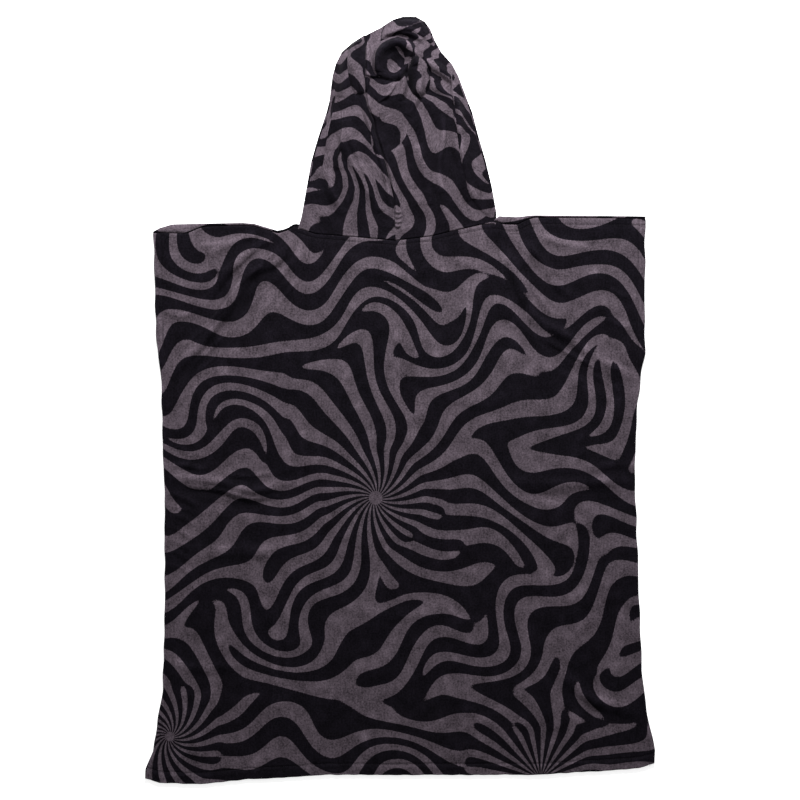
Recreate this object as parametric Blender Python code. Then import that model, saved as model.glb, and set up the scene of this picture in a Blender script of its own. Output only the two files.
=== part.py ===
"""Hooded bath poncho laid flat on its front, with the back and the hood's back uppermost.

Metres, +Z up, +Y from the hem to the hood. The origin is the middle of the garment's
outline, on the surface that it lies on.

The garment is cut from four pieces of velour towelling and each is one object:
  front_panel  lies on the surface, with the neckline cut low and the shoulder edge rolled up
  back_panel   lies on the front panel, joined to it at the shoulders and below the arm openings
  hood_left    a wall that runs from the face opening, along the surface, round the outer
  hood_right   fold and back over the top to the centre seam
Every piece is a wall between two skins, and a skin is a grid of points worked out from
the outline tables and the fold tables below.
"""

import bisect
import math
from dataclasses import dataclass

import bmesh
import bpy

# Cloth
CLOTH = 0.0024  # thickness of the velour towelling
LAYER_GAP = 0.0004  # air between panels that touch
SEAM_GAP = 0.0004  # between pieces that are sewn edge to edge
LOFT = 0.0012  # how far the back panel stands off the front one away from its edges
LOFT_REACH = 0.05  # distance from the edge at which it stands off fully
HEM_RISE = 0.0008  # extra thickness where an edge is turned under and sewn
HEM_DEPTH = 0.018  # depth of the bottom hem
ARM_HEM_DEPTH = 0.011  # depth of the hem round an arm opening
VENT_TOP = -0.520  # the side vents run from here down to the hem
ARM_END = 0.060  # the arm openings run from here up to the shoulder
ROLL_END = 0.0008  # how far the rolled shoulder edge runs into the neck as it ends
NECK_ROW = 0.0004  # spacing of the roll's rows in the neck, where there is no roll
HEM_SLOPE = 0.3  # width of the slope beside a hem, as a share of the hem's depth
EDGE_FOLD = 0.35  # the share of a fold's height that reaches a sewn edge

# Grid spacing
PANEL_COLUMN = 0.036
PANEL_ROW = 0.029
FRONT_STEP = 0.090
FOLD_TURNS = 6  # facets round the hood's outer fold

# Hood
FOLD_GAP = 0.0008  # air inside the hood at its outer fold
HOOD_RIM = 2 * CLOTH + FOLD_GAP  # height of the hood at its outer fold
SEAM_GROOVE = 0.0015  # depth of the groove along the hood's centre seam
SEAM_GROOVE_SHARE = 0.10  # the share of the half's width that it takes
GROOVE_PUFF = 0.004  # the puff at which the groove has its full depth
NECK_SETTLE = 0.13  # height above the neck over which the neck curve fades out of the rows
SWELL_SHARE = 0.45  # share of the half's width, from the outer fold, over which it puffs up
FOLD_SHARE = 0.25  # share of it over which the small folds start
TOP_STEP = 0.075  # share of the half's width between points over the top
UNDER_STEP = 0.30  # and along the surface

# Outlines of the panels, from y to x on the sides and from x to y along the edges
LEFT_SIDE = [  # y, x
    (-0.6220, -0.4190),
    (-0.6060, -0.4180),
    (-0.5900, -0.4120),
    (-0.5760, -0.4055),
    (-0.5270, -0.3990),
    (-0.4780, -0.3905),
    (-0.3950, -0.3880),
    (-0.1480, -0.3868),
    (-0.0990, -0.3900),
    (0.0330, -0.3930),
    (0.0660, -0.3965),
    (0.0990, -0.4010),
    (0.2780, -0.4060),
]
RIGHT_SIDE = [  # y, x
    (-0.5970, 0.4190),
    (-0.5760, 0.4190),
    (-0.5440, 0.4125),
    (-0.5110, 0.4060),
    (-0.4450, 0.3980),
    (-0.3290, 0.3940),
    (-0.1480, 0.3870),
    (-0.0990, 0.3860),
    (0.0000, 0.3910),
    (0.0490, 0.3980),
    (0.0820, 0.4030),
    (0.3030, 0.4030),
]
HEM = [  # x, y
    (-0.4190, -0.6220),
    (-0.4080, -0.6250),
    (-0.3950, -0.6295),
    (-0.3270, -0.6310),
    (-0.2460, -0.6230),
    (-0.1150, -0.6160),
    (0.2200, -0.6160),
    (0.3460, -0.6085),
    (0.3930, -0.6050),
    (0.4190, -0.5970),
]
SHOULDER = [  # x, y of the outline, which is the front panel's rolled edge
    (-0.4060, 0.2780),
    (-0.3950, 0.2840),
    (-0.3750, 0.2900),
    (-0.2600, 0.2925),
    (-0.2400, 0.2910),
    (-0.2000, 0.2790),
    (-0.1850, 0.2840),
    (-0.1720, 0.2930),
    (0.1590, 0.3060),
    (0.1660, 0.3030),
    (0.1920, 0.3020),
    (0.2150, 0.3050),
    (0.3750, 0.3035),
    (0.4030, 0.3030),
]
SHOULDER_LIP = [  # x, depth of the front panel that shows past the shoulder seam
    (-0.4060, 0.0030),
    (-0.3950, 0.0080),
    (-0.3750, 0.0150),
    (-0.3500, 0.0160),
    (-0.3350, 0.0090),
    (-0.3200, 0.0050),
    (-0.1720, 0.0040),
    (0.1590, 0.0110),
    (0.1720, 0.0130),
    (0.1920, 0.0130),
    (0.2050, 0.0080),
    (0.2220, 0.0040),
    (0.4030, 0.0040),
]
NECK_BACK = [  # x, y of the seam that joins the hood to the back panel
    (-0.1720, 0.2845),
    (-0.1390, 0.2740),
    (-0.0865, 0.2700),
    (-0.0074, 0.2630),
    (0.0500, 0.2700),
    (0.0914, 0.2800),
    (0.1326, 0.2890),
    (0.1590, 0.2905),
]
NECK_FRONT = [  # x, y of the hidden seam that joins the hood to the front panel
    (-0.1720, 0.2890),
    (-0.1500, 0.2640),
    (-0.1100, 0.2390),
    (-0.0600, 0.2220),
    (0.0000, 0.2160),
    (0.0600, 0.2220),
    (0.1050, 0.2420),
    (0.1400, 0.2680),
    (0.1590, 0.2950),
]

# The hood, as sections from the neck to the crown
HOOD_ROWS_LEFT = [
    0.296, 0.312, 0.330, 0.355, 0.385, 0.415, 0.445, 0.475,
    0.500, 0.522, 0.542, 0.560, 0.574, 0.586, 0.595,
]  # fmt: skip
HOOD_ROWS_RIGHT = [
    0.296, 0.312, 0.330, 0.355, 0.385, 0.415, 0.445, 0.475, 0.500, 0.522,
    0.542, 0.560, 0.574, 0.587, 0.599, 0.610, 0.619, 0.626, 0.6310,
]  # fmt: skip
HOOD_LEFT_EDGE = [  # y, x of the outer fold
    (0.296, -0.1685),
    (0.316, -0.1620),
    (0.356, -0.1540),
    (0.395, -0.1460),
    (0.435, -0.1340),
    (0.474, -0.1210),
    (0.494, -0.1160),
    (0.534, -0.1110),
    (0.553, -0.1060),
    (0.573, -0.0960),
    (0.588, -0.0790),
    (0.595, -0.0680),
]
HOOD_RIGHT_EDGE = [
    (0.296, 0.1580),
    (0.316, 0.1585),
    (0.356, 0.1510),
    (0.395, 0.1410),
    (0.435, 0.1290),
    (0.474, 0.1190),
    (0.494, 0.1110),
    (0.534, 0.0960),
    (0.553, 0.0860),
    (0.573, 0.0680),
    (0.593, 0.0570),
    (0.611, 0.0500),
    (0.623, 0.0410),
    (0.6310, 0.0270),
]
CENTRE_SEAM = [  # y, x of the seam up the hood's back, and past the crown the fold there
    (0.263, -0.0070),
    (0.331, -0.0100),
    (0.387, -0.0230),
    (0.440, -0.0400),
    (0.460, -0.0430),
    (0.483, -0.0540),
    (0.505, -0.0570),
    (0.600, -0.0560),
    (0.605, -0.0470),
    (0.613, -0.0310),
    (0.6185, -0.0230),
    (0.626, -0.0110),
    (0.6310, 0.0050),
]
FACE_LEFT = [  # y, x of the face opening's edge, which lies on the surface
    (0.216, -0.0040),
    (0.260, -0.0120),
    (0.300, -0.0280),
    (0.380, -0.0450),
    (0.460, -0.0520),
    (0.540, -0.0570),
    (0.595, -0.0570),
]
FACE_RIGHT = [
    (0.216, 0.0040),
    (0.260, 0.0120),
    (0.300, 0.0260),
    (0.380, 0.0420),
    (0.460, 0.0380),
    (0.520, 0.0100),
    (0.555, -0.0300),
    (0.575, -0.0500),
    (0.600, -0.0545),
    (0.605, -0.0470),
    (0.613, -0.0310),
    (0.6185, -0.0230),
    (0.626, -0.0110),
    (0.6310, 0.0050),
]
HOOD_PUFF = [  # y, height of the hood above its rim
    (0.263, 0.0000),
    (0.300, 0.0010),
    (0.330, 0.0045),
    (0.385, 0.0080),
    (0.440, 0.0110),
    (0.500, 0.0160),
    (0.550, 0.0190),
    (0.580, 0.0180),
    (0.600, 0.0150),
    (0.618, 0.0090),
    (0.6310, 0.0010),
]
ROLL = [  # share of the lip's depth, height of the roll's top and of its underside
    (0.12, 0.80 * HOOD_RIM, 0.0),
    (0.50, 1.00 * HOOD_RIM, 0.0),
    (0.85, 0.82 * HOOD_RIM, 0.0),
    (1.00, 0.50 * HOOD_RIM, 0.12 * HOOD_RIM),
]
CROWN_CLOSE = [  # y, share of that height kept at the centre seam
    (0.263, 1.0),
    (0.560, 1.0),
    (0.590, 0.55),
    (0.602, 0.0),
    (0.640, 0.0),
]

# The largest folds: height, half width, points along the ridge
PANEL_FOLDS = [
    (
        0.0085,
        0.024,
        [(-0.190, 0.262), (-0.235, 0.222), (-0.272, 0.166), (-0.318, 0.096), (-0.372, 0.040)],
    ),
    (
        0.0060,
        0.022,
        [(0.168, 0.262), (0.196, 0.200), (0.214, 0.130), (0.262, 0.092), (0.386, 0.020)],
    ),
    (0.0075, 0.024, [(-0.380, -0.120), (-0.300, -0.130), (-0.235, -0.143), (-0.172, -0.130)]),
    (0.0070, 0.024, [(0.176, -0.128), (0.240, -0.134), (0.300, -0.136), (0.378, -0.130)]),
    (0.0040, 0.020, [(0.256, -0.446), (0.318, -0.500), (0.392, -0.532)]),
    (0.0030, 0.018, [(-0.330, -0.252), (-0.206, -0.250), (-0.170, -0.222)]),
]
HOOD_FOLDS = [
    (
        0.0090,
        0.016,
        [(-0.034, 0.545), (-0.028, 0.572), (-0.006, 0.584), (0.018, 0.574), (0.030, 0.548)],
    ),
    (0.0060, 0.014, [(0.022, 0.560), (0.030, 0.520), (0.026, 0.485), (0.010, 0.455)]),
    (0.0055, 0.014, [(0.036, 0.552), (0.066, 0.540), (0.092, 0.520)]),
    (0.0040, 0.014, [(-0.104, 0.545), (-0.104, 0.470), (-0.098, 0.390), (-0.088, 0.330)]),
    (0.0045, 0.016, [(0.086, 0.510), (0.090, 0.450), (0.104, 0.390)]),
    (0.0040, 0.014, [(-0.090, 0.440), (-0.062, 0.380), (-0.030, 0.320)]),
]

BASE_COLOUR = (0.062, 0.052, 0.062)  # mean of the printed bands
ROUGHNESS = 0.95


def read(table, key):
    """The value of a two-column table at a key, on straight lines between its rows."""
    keys = [row[0] for row in table]
    if key <= keys[0]:
        return table[0][1]
    if key >= keys[-1]:
        return table[-1][1]
    i = bisect.bisect_right(keys, key)
    (k0, v0), (k1, v1) = table[i - 1], table[i]
    return v0 + (v1 - v0) * (key - k0) / (k1 - k0)


def smooth(t):
    """0 to 1 with a level start and end."""
    t = min(max(t, 0.0), 1.0)
    return t * t * (3 - 2 * t)


def stations(keys, step):
    """The sorted keys, with even ones between them wherever two are further apart than step."""
    keys = sorted(set(keys))
    filled = [keys[0]]
    for low, high in zip(keys, keys[1:]):
        parts = max(1, math.ceil((high - low) / step - 1e-6))
        filled += [low + (high - low) * (i + 1) / parts for i in range(parts)]
    return filled


def distance_along(point, line):
    """(distance from a line of points, share of the line's length at the nearest point)."""
    px, py = point
    lengths = [math.dist(a, b) for a, b in zip(line, line[1:])]
    best, share, gone = math.inf, 0.0, 0.0
    for (ax, ay), (bx, by), length in zip(line, line[1:], lengths):
        t = ((px - ax) * (bx - ax) + (py - ay) * (by - ay)) / length**2
        t = min(max(t, 0.0), 1.0)
        away = math.hypot(px - ax - (bx - ax) * t, py - ay - (by - ay) * t)
        if away < best:
            best, share = away, (gone + length * t) / sum(lengths)
        gone += length
    return best, share


def ridges(x, y, folds):
    """The height that the folds add at a point: a soft ridge that dies out at both ends."""
    rise = 0.0
    for height, half_width, line in folds:
        away, share = distance_along((x, y), line)
        if away < half_width:
            across = (1 - (away / half_width) ** 2) ** 2
            rise += height * across * math.sqrt(math.sin(math.pi * share))
    return rise


def towelling(name):
    """The piece's velour towelling: the mean colour of its print and a soft, rough surface."""
    material = bpy.data.materials.new(name)
    material.use_nodes = True
    shader = material.node_tree.nodes["Principled BSDF"]
    shader.inputs["Base Color"].default_value = (*BASE_COLOUR, 1.0)
    shader.inputs["Roughness"].default_value = ROUGHNESS
    shader.inputs["Metallic"].default_value = 0.0
    return material


def wall(name, outer, inner):
    """An object whose two skins are grids of points of one size, closed by a rim all round."""
    rows, columns = len(outer), len(outer[0])
    mesh = bmesh.new()
    skins = [[[mesh.verts.new(p) for p in row] for row in skin] for skin in (outer, inner)]
    for skin, turn in zip(skins, (1, -1)):
        for j in range(rows - 1):
            for i in range(columns - 1):
                ring = [skin[j][i], skin[j][i + 1], skin[j + 1][i + 1], skin[j + 1][i]]
                mesh.faces.new(ring[::turn])
    border = [(0, i) for i in range(columns)]
    border += [(j, columns - 1) for j in range(1, rows)]
    border += [(rows - 1, i) for i in range(columns - 2, -1, -1)]
    border += [(j, 0) for j in range(rows - 2, 0, -1)]
    for (ja, ia), (jb, ib) in zip(border, border[1:] + border[:1]):
        mesh.faces.new([skins[0][jb][ib], skins[0][ja][ia], skins[1][ja][ia], skins[1][jb][ib]])
    bmesh.ops.triangulate(mesh, faces=mesh.faces[:])
    bmesh.ops.recalc_face_normals(mesh, faces=mesh.faces[:])
    data = bpy.data.meshes.new(name)
    mesh.to_mesh(data)
    mesh.free()
    data.shade_smooth()
    data.set_sharp_from_angle(angle=math.radians(50))
    data.materials.append(towelling(name))
    made = bpy.data.objects.new(name, data)
    bpy.context.scene.collection.objects.link(made)
    return made


def in_neck(x):
    return NECK_BACK[0][0] < x < NECK_BACK[-1][0]


def shoulder_seam(x):
    """y of the seam that joins the panels at the shoulder, a lip's depth inside the outline."""
    return read(SHOULDER, x) - read(SHOULDER_LIP, x)


def back_top(x):
    """y of the back panel's top edge: the neck seam, and outside it the shoulder seam."""
    return read(NECK_BACK, x) if in_neck(x) else shoulder_seam(x)


def front_top(x):
    """y that the front panel lies flat to: the low neckline, and outside it the shoulder seam."""
    if in_neck(x):
        return read(NECK_FRONT, x) - SEAM_GAP - NECK_ROW * len(ROLL)
    return shoulder_seam(x) + SEAM_GAP


def side(table, t):
    """x of a panel's side at a share of its height, 0 at the hem and 1 at the shoulder."""
    return read(table, table[0][0] + (table[-1][0] - table[0][0]) * t)


def panel_point(s, t, top):
    """(x, y) at shares s across and t up, between the two sides, the hem and a top edge."""
    left, right = side(LEFT_SIDE, t), side(RIGHT_SIDE, t)
    foot = read(HEM, HEM[0][0] + (HEM[-1][0] - HEM[0][0]) * s)
    head = top(SHOULDER[0][0] + (SHOULDER[-1][0] - SHOULDER[0][0]) * s)
    return left + (right - left) * s, foot + (head - foot) * t


def panel_columns(step):
    """Shares of the width: the outline tables' own places, the hem's slope and even ones."""
    left, right = SHOULDER[0][0], SHOULDER[-1][0]
    places = [x for table in (SHOULDER, SHOULDER_LIP, NECK_BACK, NECK_FRONT) for x, _ in table]
    for inset in (ARM_HEM_DEPTH, ARM_HEM_DEPTH * (1 + HEM_SLOPE)):
        places += [left + inset, right - inset]
    places += [NECK_BACK[0][0] + ROLL_END, NECK_BACK[-1][0] - ROLL_END]
    return [(x - left) / (right - left) for x in stations(places, step)]


def is_hem(y, from_side, from_foot):
    """Whether a point is on a turned edge: the bottom hem, a vent or an arm opening."""
    hair = 1e-6
    on_side = from_side < ARM_HEM_DEPTH + hair and (y > ARM_END or y < VENT_TOP)
    return from_foot < HEM_DEPTH + hair or on_side


def make_back_panel():
    height = SHOULDER[0][1] - HEM[0][1]
    hem = HEM_DEPTH / height
    rows = stations([0.0, hem, hem * (1 + HEM_SLOPE), 1 - hem, 1.0], PANEL_ROW / height)
    outer, inner = [], []
    for t in rows:
        left, right = side(LEFT_SIDE, t), side(RIGHT_SIDE, t)
        outer.append([])
        inner.append([])
        for s in panel_columns(PANEL_COLUMN):
            x, y = panel_point(s, t, back_top)
            from_side = min(x - left, right - x)
            from_foot = y - panel_point(s, 0.0, back_top)[1]
            from_head = panel_point(s, 1.0, back_top)[1] - y
            free = smooth(min(from_side, from_foot, from_head) / LOFT_REACH)
            under = CLOTH + LAYER_GAP + LOFT * free
            under += ridges(x, y, PANEL_FOLDS) * (EDGE_FOLD + (1 - EDGE_FOLD) * free)
            thickness = CLOTH + HEM_RISE * is_hem(y, from_side, from_foot)
            inner[-1].append((x, y, under))
            outer[-1].append((x, y, under + thickness))
    return wall("back_panel", outer, inner)


def make_front_panel():
    """The panel lies flat, and past the shoulder seam its edge is rolled up beside the back."""
    height = SHOULDER[0][1] - HEM[0][1]
    columns = panel_columns(FRONT_STEP)
    outer, inner = [], []
    for t in stations([0.0, HEM_DEPTH / height, 1.0], FRONT_STEP / height):
        points = [panel_point(s, t, front_top) for s in columns]
        inner.append([(x, y, 0.0) for x, y in points])
        outer.append([(x, y, CLOTH) for x, y in points])
    edge = [panel_point(s, 1.0, front_top) for s in columns]
    for row, (share, top, under) in enumerate(ROLL, 1):
        outer.append([])
        inner.append([])
        for x, y in edge:
            if in_neck(x):
                place, high, low = (x, y + NECK_ROW * row), CLOTH, 0.0
            else:
                depth = read(SHOULDER_LIP, x) - SEAM_GAP
                place, high, low = (x, y + depth * share), top, under
            outer[-1].append((*place, high))
            inner[-1].append((*place, low))
    return wall("front_panel", outer, inner)


@dataclass(frozen=True)
class HoodHalf:
    """One half of the hood: a wall that starts at the face opening, on the surface, runs out
    along it, round the outer fold and back over the top to the centre seam.

    rows holds the y of each section, and the tables give x from y. sign is +1 on the half
    whose outer fold has the larger x, and -1 on the other.
    """

    name: str
    rows: list
    edge: list
    seam: list
    face: list
    sign: int

    def settle(self, y):
        """How much of the neck's curve a section still has: 1 on the first and 0 well above."""
        return 1 - smooth((y - self.rows[0]) / NECK_SETTLE)

    def layer(self, y, neck, start, end, shares):
        """(share, x, y) along one layer of the section at y. Its ends move up from the neck's
        edge, where they are start and end, and each point keeps its share of the way."""
        first = self.rows[0]
        x_start, x_end = start(y), end(y)
        for share in shares:
            neck_x = start(first) + (end(first) - start(first)) * share
            drop = (read(neck, neck_x) + SEAM_GAP - first) * self.settle(y)
            yield share, x_start + (x_end - x_start) * share, y + drop

    def fold_x(self, y):
        """x of the middle of the outer fold's round."""
        return read(self.edge, y) - self.sign * HOOD_RIM / 2

    def seam_x(self, y):
        foot = read(NECK_BACK, 0.0)
        return read(self.seam, y + (foot - self.rows[0]) * self.settle(y))

    def face_x(self, y):
        foot = read(NECK_FRONT, 0.0)
        return read(self.face, y + (foot - self.rows[0]) * self.settle(y))

    def shares(self, neck, start, end, step):
        """Shares of a layer's width at the neck's own places, with even ones between them."""
        a, b = start(self.rows[0]), end(self.rows[0])
        inside = [(x - a) / (b - a) for x, _ in neck if min(a, b) < x < max(a, b)]
        return stations([0.0, 1.0, *inside], step)

    def top_height(self, share, x, y):
        """Height of the hood's upper surface, from the outer fold (share 0) to the seam (1)."""
        swell = math.sin(math.pi / 2 * min(1.0, share / SWELL_SHARE))
        towards_seam = smooth((share - SWELL_SHARE) / (1 - SWELL_SHARE))
        kept = 1 - towards_seam * (1 - read(CROWN_CLOSE, y))
        puff = read(HOOD_PUFF, y) * swell * kept
        folds = ridges(x, y, HOOD_FOLDS) * smooth(share / FOLD_SHARE) * kept
        groove = smooth((share - 1) / SEAM_GROOVE_SHARE + 1) * smooth(puff / GROOVE_PUFF)
        return HOOD_RIM + puff + folds - SEAM_GROOVE * groove

    def section(self, y, under_shares, top_shares):
        """(outer skin, inner skin) of the section at y."""
        outer, inner = [], []
        for _, x, at in self.layer(y, NECK_FRONT, self.face_x, self.fold_x, under_shares):
            outer.append((x, at, 0.0))
            inner.append((x, at, CLOTH))
        neck_edge = read(NECK_FRONT, read(self.edge, self.rows[0])) + SEAM_GAP
        at = y + (neck_edge - self.rows[0]) * self.settle(y)
        for k in range(1, FOLD_TURNS):
            angle = math.pi * (k / FOLD_TURNS - 0.5)
            for skin, radius in ((outer, HOOD_RIM / 2), (inner, HOOD_RIM / 2 - CLOTH)):
                x = self.fold_x(y) + self.sign * radius * math.cos(angle)
                skin.append((x, at, HOOD_RIM / 2 + radius * math.sin(angle)))
        for share, x, at in self.layer(y, NECK_BACK, self.fold_x, self.seam_x, top_shares):
            top = self.top_height(share, x, at)
            outer.append((x, at, top))
            inner.append((x, at, top - CLOTH))
        return outer, inner

    def build(self):
        under = self.shares(NECK_FRONT, self.face_x, self.fold_x, UNDER_STEP)
        top = self.shares(NECK_BACK, self.fold_x, self.seam_x, TOP_STEP)
        sections = [self.section(y, under, top) for y in self.rows]
        return wall(self.name, *map(list, zip(*sections)))


def shifted(table, by):
    return [(key, value + by) for key, value in table]


def main():
    for old in list(bpy.data.objects):
        bpy.data.objects.remove(old)
    make_front_panel()
    make_back_panel()
    left_seam = shifted(CENTRE_SEAM, -SEAM_GAP / 2)
    right_seam = shifted(CENTRE_SEAM, SEAM_GAP / 2)
    HoodHalf("hood_left", HOOD_ROWS_LEFT, HOOD_LEFT_EDGE, left_seam, FACE_LEFT, -1).build()
    HoodHalf("hood_right", HOOD_ROWS_RIGHT, HOOD_RIGHT_EDGE, right_seam, FACE_RIGHT, 1).build()


main()
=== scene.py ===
"""Looks of the hooded bath poncho, laid flat with its back and the hood's back uppermost.

Metres, +Z up, +Y from the hem to the hood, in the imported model's own frame.

The garment is four pieces of printed velour towelling. Each is a thin closed wall whose upper
skin is a grid of points worked out as whole arrays from the outline tables, the crease tables
and the loft below. Rows of topstitching are a piece of their own. The print is grown once on
a square that repeats, and every piece of cloth is cut from it at a place of its own.
"""

import logging
import math
from collections.abc import Callable, Iterator, Mapping, Sequence
from dataclasses import dataclass, field
from enum import Enum

import bpy
import numpy as np
from numpy.typing import NDArray
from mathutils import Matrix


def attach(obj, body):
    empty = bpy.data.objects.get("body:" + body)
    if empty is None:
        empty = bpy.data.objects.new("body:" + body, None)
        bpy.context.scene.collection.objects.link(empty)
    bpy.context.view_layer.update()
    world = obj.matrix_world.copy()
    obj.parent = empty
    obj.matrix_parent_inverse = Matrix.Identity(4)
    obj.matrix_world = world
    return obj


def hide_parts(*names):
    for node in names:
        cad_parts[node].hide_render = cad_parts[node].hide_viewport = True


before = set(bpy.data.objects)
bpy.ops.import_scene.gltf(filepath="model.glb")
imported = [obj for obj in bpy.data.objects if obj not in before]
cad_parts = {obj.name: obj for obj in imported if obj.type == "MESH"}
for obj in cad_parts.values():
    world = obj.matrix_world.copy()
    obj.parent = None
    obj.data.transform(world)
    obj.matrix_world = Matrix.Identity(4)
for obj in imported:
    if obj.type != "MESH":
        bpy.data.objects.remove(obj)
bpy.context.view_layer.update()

Array = NDArray[np.float64]
Table = Sequence[tuple[float, float]]
Point = tuple[float, float]
Node = bpy.types.Node
Socket = bpy.types.NodeSocket

LOG = logging.getLogger("poncho")
TAU = 2 * math.pi
BODY = "root"

# Cloth
CLOTH = 0.0024  # thickness of the towelling
LAYER_GAP = 0.0004  # air between panels that touch
SEAM_GAP = 0.0004  # between panels that are sewn edge to edge
SEAM_LAP = 0.0005  # how far a half of the hood runs past each seam line, so that no gap shows
HOOD_RIM = 2 * CLOTH + 0.0008  # height of the hood at its outer fold, and of the shoulder roll
CLOTH_MAP = "cloth"  # the UV map that holds a point's place on the printed cloth, in metres
BAND = "band"  # the attribute that is above 0 on the light bands of the print
CREASE_UNEVEN = 0.16  # how far a crease's height wanders along it, as a share
TUCK_CREASE = 0.30  # depth of the crease round a tuck, as a share of the tuck's height
TUCK_CREASE_WIDTH = 0.0035
WEAR_AND_HIGHLIGHT = "wear_and_highlight"  # the attribute that is 1 on ridges and edges, where the colour is painted paler: painted highlight on crease crests, and wear along the edges
SKIP = 2  # the inner skin has every second row and column of the outer one

# Print: a sunburst of n rays is cos(n (angle - twist ln(distance / SPIRAL_SCALE + SPIRAL_START)))
PRINT_SIDE = 1.2  # side of the square of printed cloth that repeats
BURST_CORE = 0.085  # radius within which a sunburst's rays are exact
SPIRAL_SCALE = 0.1
SPIRAL_START = 0.15

# Outlines, from y to x on the sides and from x to y along the edges
LEFT_SIDE: Table = (
    (-0.6220, -0.4190), (-0.6060, -0.4180), (-0.5900, -0.4120), (-0.5760, -0.4055),
    (-0.5270, -0.3990), (-0.4780, -0.3905), (-0.3950, -0.3880), (-0.1480, -0.3868),
    (-0.0990, -0.3900), (0.0330, -0.3930), (0.0660, -0.3965), (0.0990, -0.4010),
    (0.2780, -0.4060),
)  # fmt: skip
RIGHT_SIDE: Table = (
    (-0.5970, 0.4190), (-0.5760, 0.4190), (-0.5440, 0.4125), (-0.5110, 0.4060),
    (-0.4450, 0.3980), (-0.3290, 0.3940), (-0.1480, 0.3870), (-0.0990, 0.3860),
    (0.0000, 0.3910), (0.0490, 0.3980), (0.0820, 0.4030), (0.3030, 0.4030),
)  # fmt: skip
HEM: Table = (
    (-0.4190, -0.6220), (-0.4080, -0.6250), (-0.3950, -0.6295), (-0.3270, -0.6310),
    (-0.2460, -0.6230), (-0.1150, -0.6160), (0.2200, -0.6160), (0.3460, -0.6085),
    (0.3930, -0.6050), (0.4190, -0.5970),
)  # fmt: skip
SHOULDER: Table = (
    (-0.4060, 0.2780), (-0.3950, 0.2840), (-0.3750, 0.2900), (-0.2600, 0.2925),
    (-0.2400, 0.2910), (-0.2000, 0.2790), (-0.1850, 0.2840), (-0.1720, 0.2930),
    (0.1590, 0.3060), (0.1660, 0.3030), (0.1920, 0.3020), (0.2150, 0.3050),
    (0.3750, 0.3035), (0.4030, 0.3030),
)  # fmt: skip
SHOULDER_LIP: Table = (
    (-0.4060, 0.0030), (-0.3950, 0.0080), (-0.3750, 0.0150), (-0.3500, 0.0160),
    (-0.3350, 0.0090), (-0.3200, 0.0050), (-0.1720, 0.0040), (0.1590, 0.0110),
    (0.1720, 0.0130), (0.1920, 0.0130), (0.2050, 0.0080), (0.2220, 0.0040),
    (0.4030, 0.0040),
)  # fmt: skip
NECK_BACK: Table = (
    (-0.1720, 0.2845), (-0.1390, 0.2740), (-0.0865, 0.2700), (-0.0074, 0.2630),
    (0.0500, 0.2700), (0.0914, 0.2800), (0.1326, 0.2890), (0.1590, 0.2905),
)  # fmt: skip
NECK_FRONT: Table = (
    (-0.1720, 0.2890), (-0.1500, 0.2640), (-0.1100, 0.2390), (-0.0600, 0.2220),
    (0.0000, 0.2160), (0.0600, 0.2220), (0.1050, 0.2420), (0.1400, 0.2680),
    (0.1590, 0.2950),
)  # fmt: skip
HOOD_LEFT_EDGE: Table = (
    (0.296, -0.1685), (0.316, -0.1620), (0.356, -0.1540), (0.395, -0.1460),
    (0.435, -0.1340), (0.474, -0.1210), (0.494, -0.1160), (0.534, -0.1110),
    (0.553, -0.1060), (0.573, -0.0960), (0.588, -0.0790), (0.595, -0.0680),
    (0.600, -0.0605),
)  # fmt: skip
HOOD_RIGHT_EDGE: Table = (
    (0.296, 0.1580), (0.316, 0.1585), (0.356, 0.1510), (0.395, 0.1410),
    (0.435, 0.1290), (0.474, 0.1190), (0.494, 0.1110), (0.534, 0.0960),
    (0.553, 0.0860), (0.573, 0.0680), (0.593, 0.0570), (0.611, 0.0500),
    (0.623, 0.0410), (0.631, 0.0270),
)  # fmt: skip
CENTRE_SEAM: Table = (
    (0.263, -0.0070), (0.331, -0.0100), (0.387, -0.0230), (0.440, -0.0400),
    (0.460, -0.0430), (0.483, -0.0540), (0.505, -0.0570), (0.600, -0.0560),
    (0.605, -0.0470), (0.613, -0.0310), (0.6185, -0.0230), (0.626, -0.0110),
    (0.631, 0.0050),
)  # fmt: skip
FACE_LEFT: Table = (
    (0.216, -0.0040), (0.260, -0.0120), (0.300, -0.0280), (0.380, -0.0450),
    (0.460, -0.0520), (0.540, -0.0570), (0.595, -0.0570),
)  # fmt: skip
FACE_RIGHT: Table = (
    (0.216, 0.0040), (0.260, 0.0120), (0.300, 0.0260), (0.380, 0.0420),
    (0.460, 0.0380), (0.520, 0.0100), (0.555, -0.0300), (0.575, -0.0500),
    (0.600, -0.0545), (0.605, -0.0470), (0.613, -0.0310), (0.6185, -0.0230),
    (0.626, -0.0110), (0.631, 0.0050),
)  # fmt: skip
HOOD_PUFF: Table = (  # y, height of the hood above its rim
    (0.263, 0.0000), (0.300, 0.0010), (0.330, 0.0045), (0.385, 0.0080),
    (0.440, 0.0110), (0.500, 0.0160), (0.550, 0.0190), (0.580, 0.0180),
    (0.600, 0.0150), (0.618, 0.0090), (0.631, 0.0010),
)  # fmt: skip
CROWN_CLOSE: Table = (  # y, share of that height kept at the centre seam
    (0.263, 1.0), (0.560, 1.0), (0.575, 0.75), (0.588, 0.30), (0.598, 0.0), (0.640, 0.0),
)  # fmt: skip
# Sunbursts of rays: x, y, number of rays, twist, radius of the plain disc in the middle
BURSTS: Sequence[tuple[float, float, int, float, float]] = (
    (-0.040, -0.160, 23, 0.35, 0.0110),
    (-0.378, -0.552, 19, 0.60, 0.0075),
    (0.231, -0.622, 25, 0.00, 0.0080),
)


def read(table: Table, key: Array | float) -> Array:
    """Values of a two-column table at the keys, on straight lines between its rows.

    Args:
        table: rows of (key, value), with rising keys.
        key: where to read.

    Returns:
        The values, held at the first and last rows past the ends.
    """
    keys, values = np.array(table).T
    return np.interp(key, keys, values)


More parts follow.
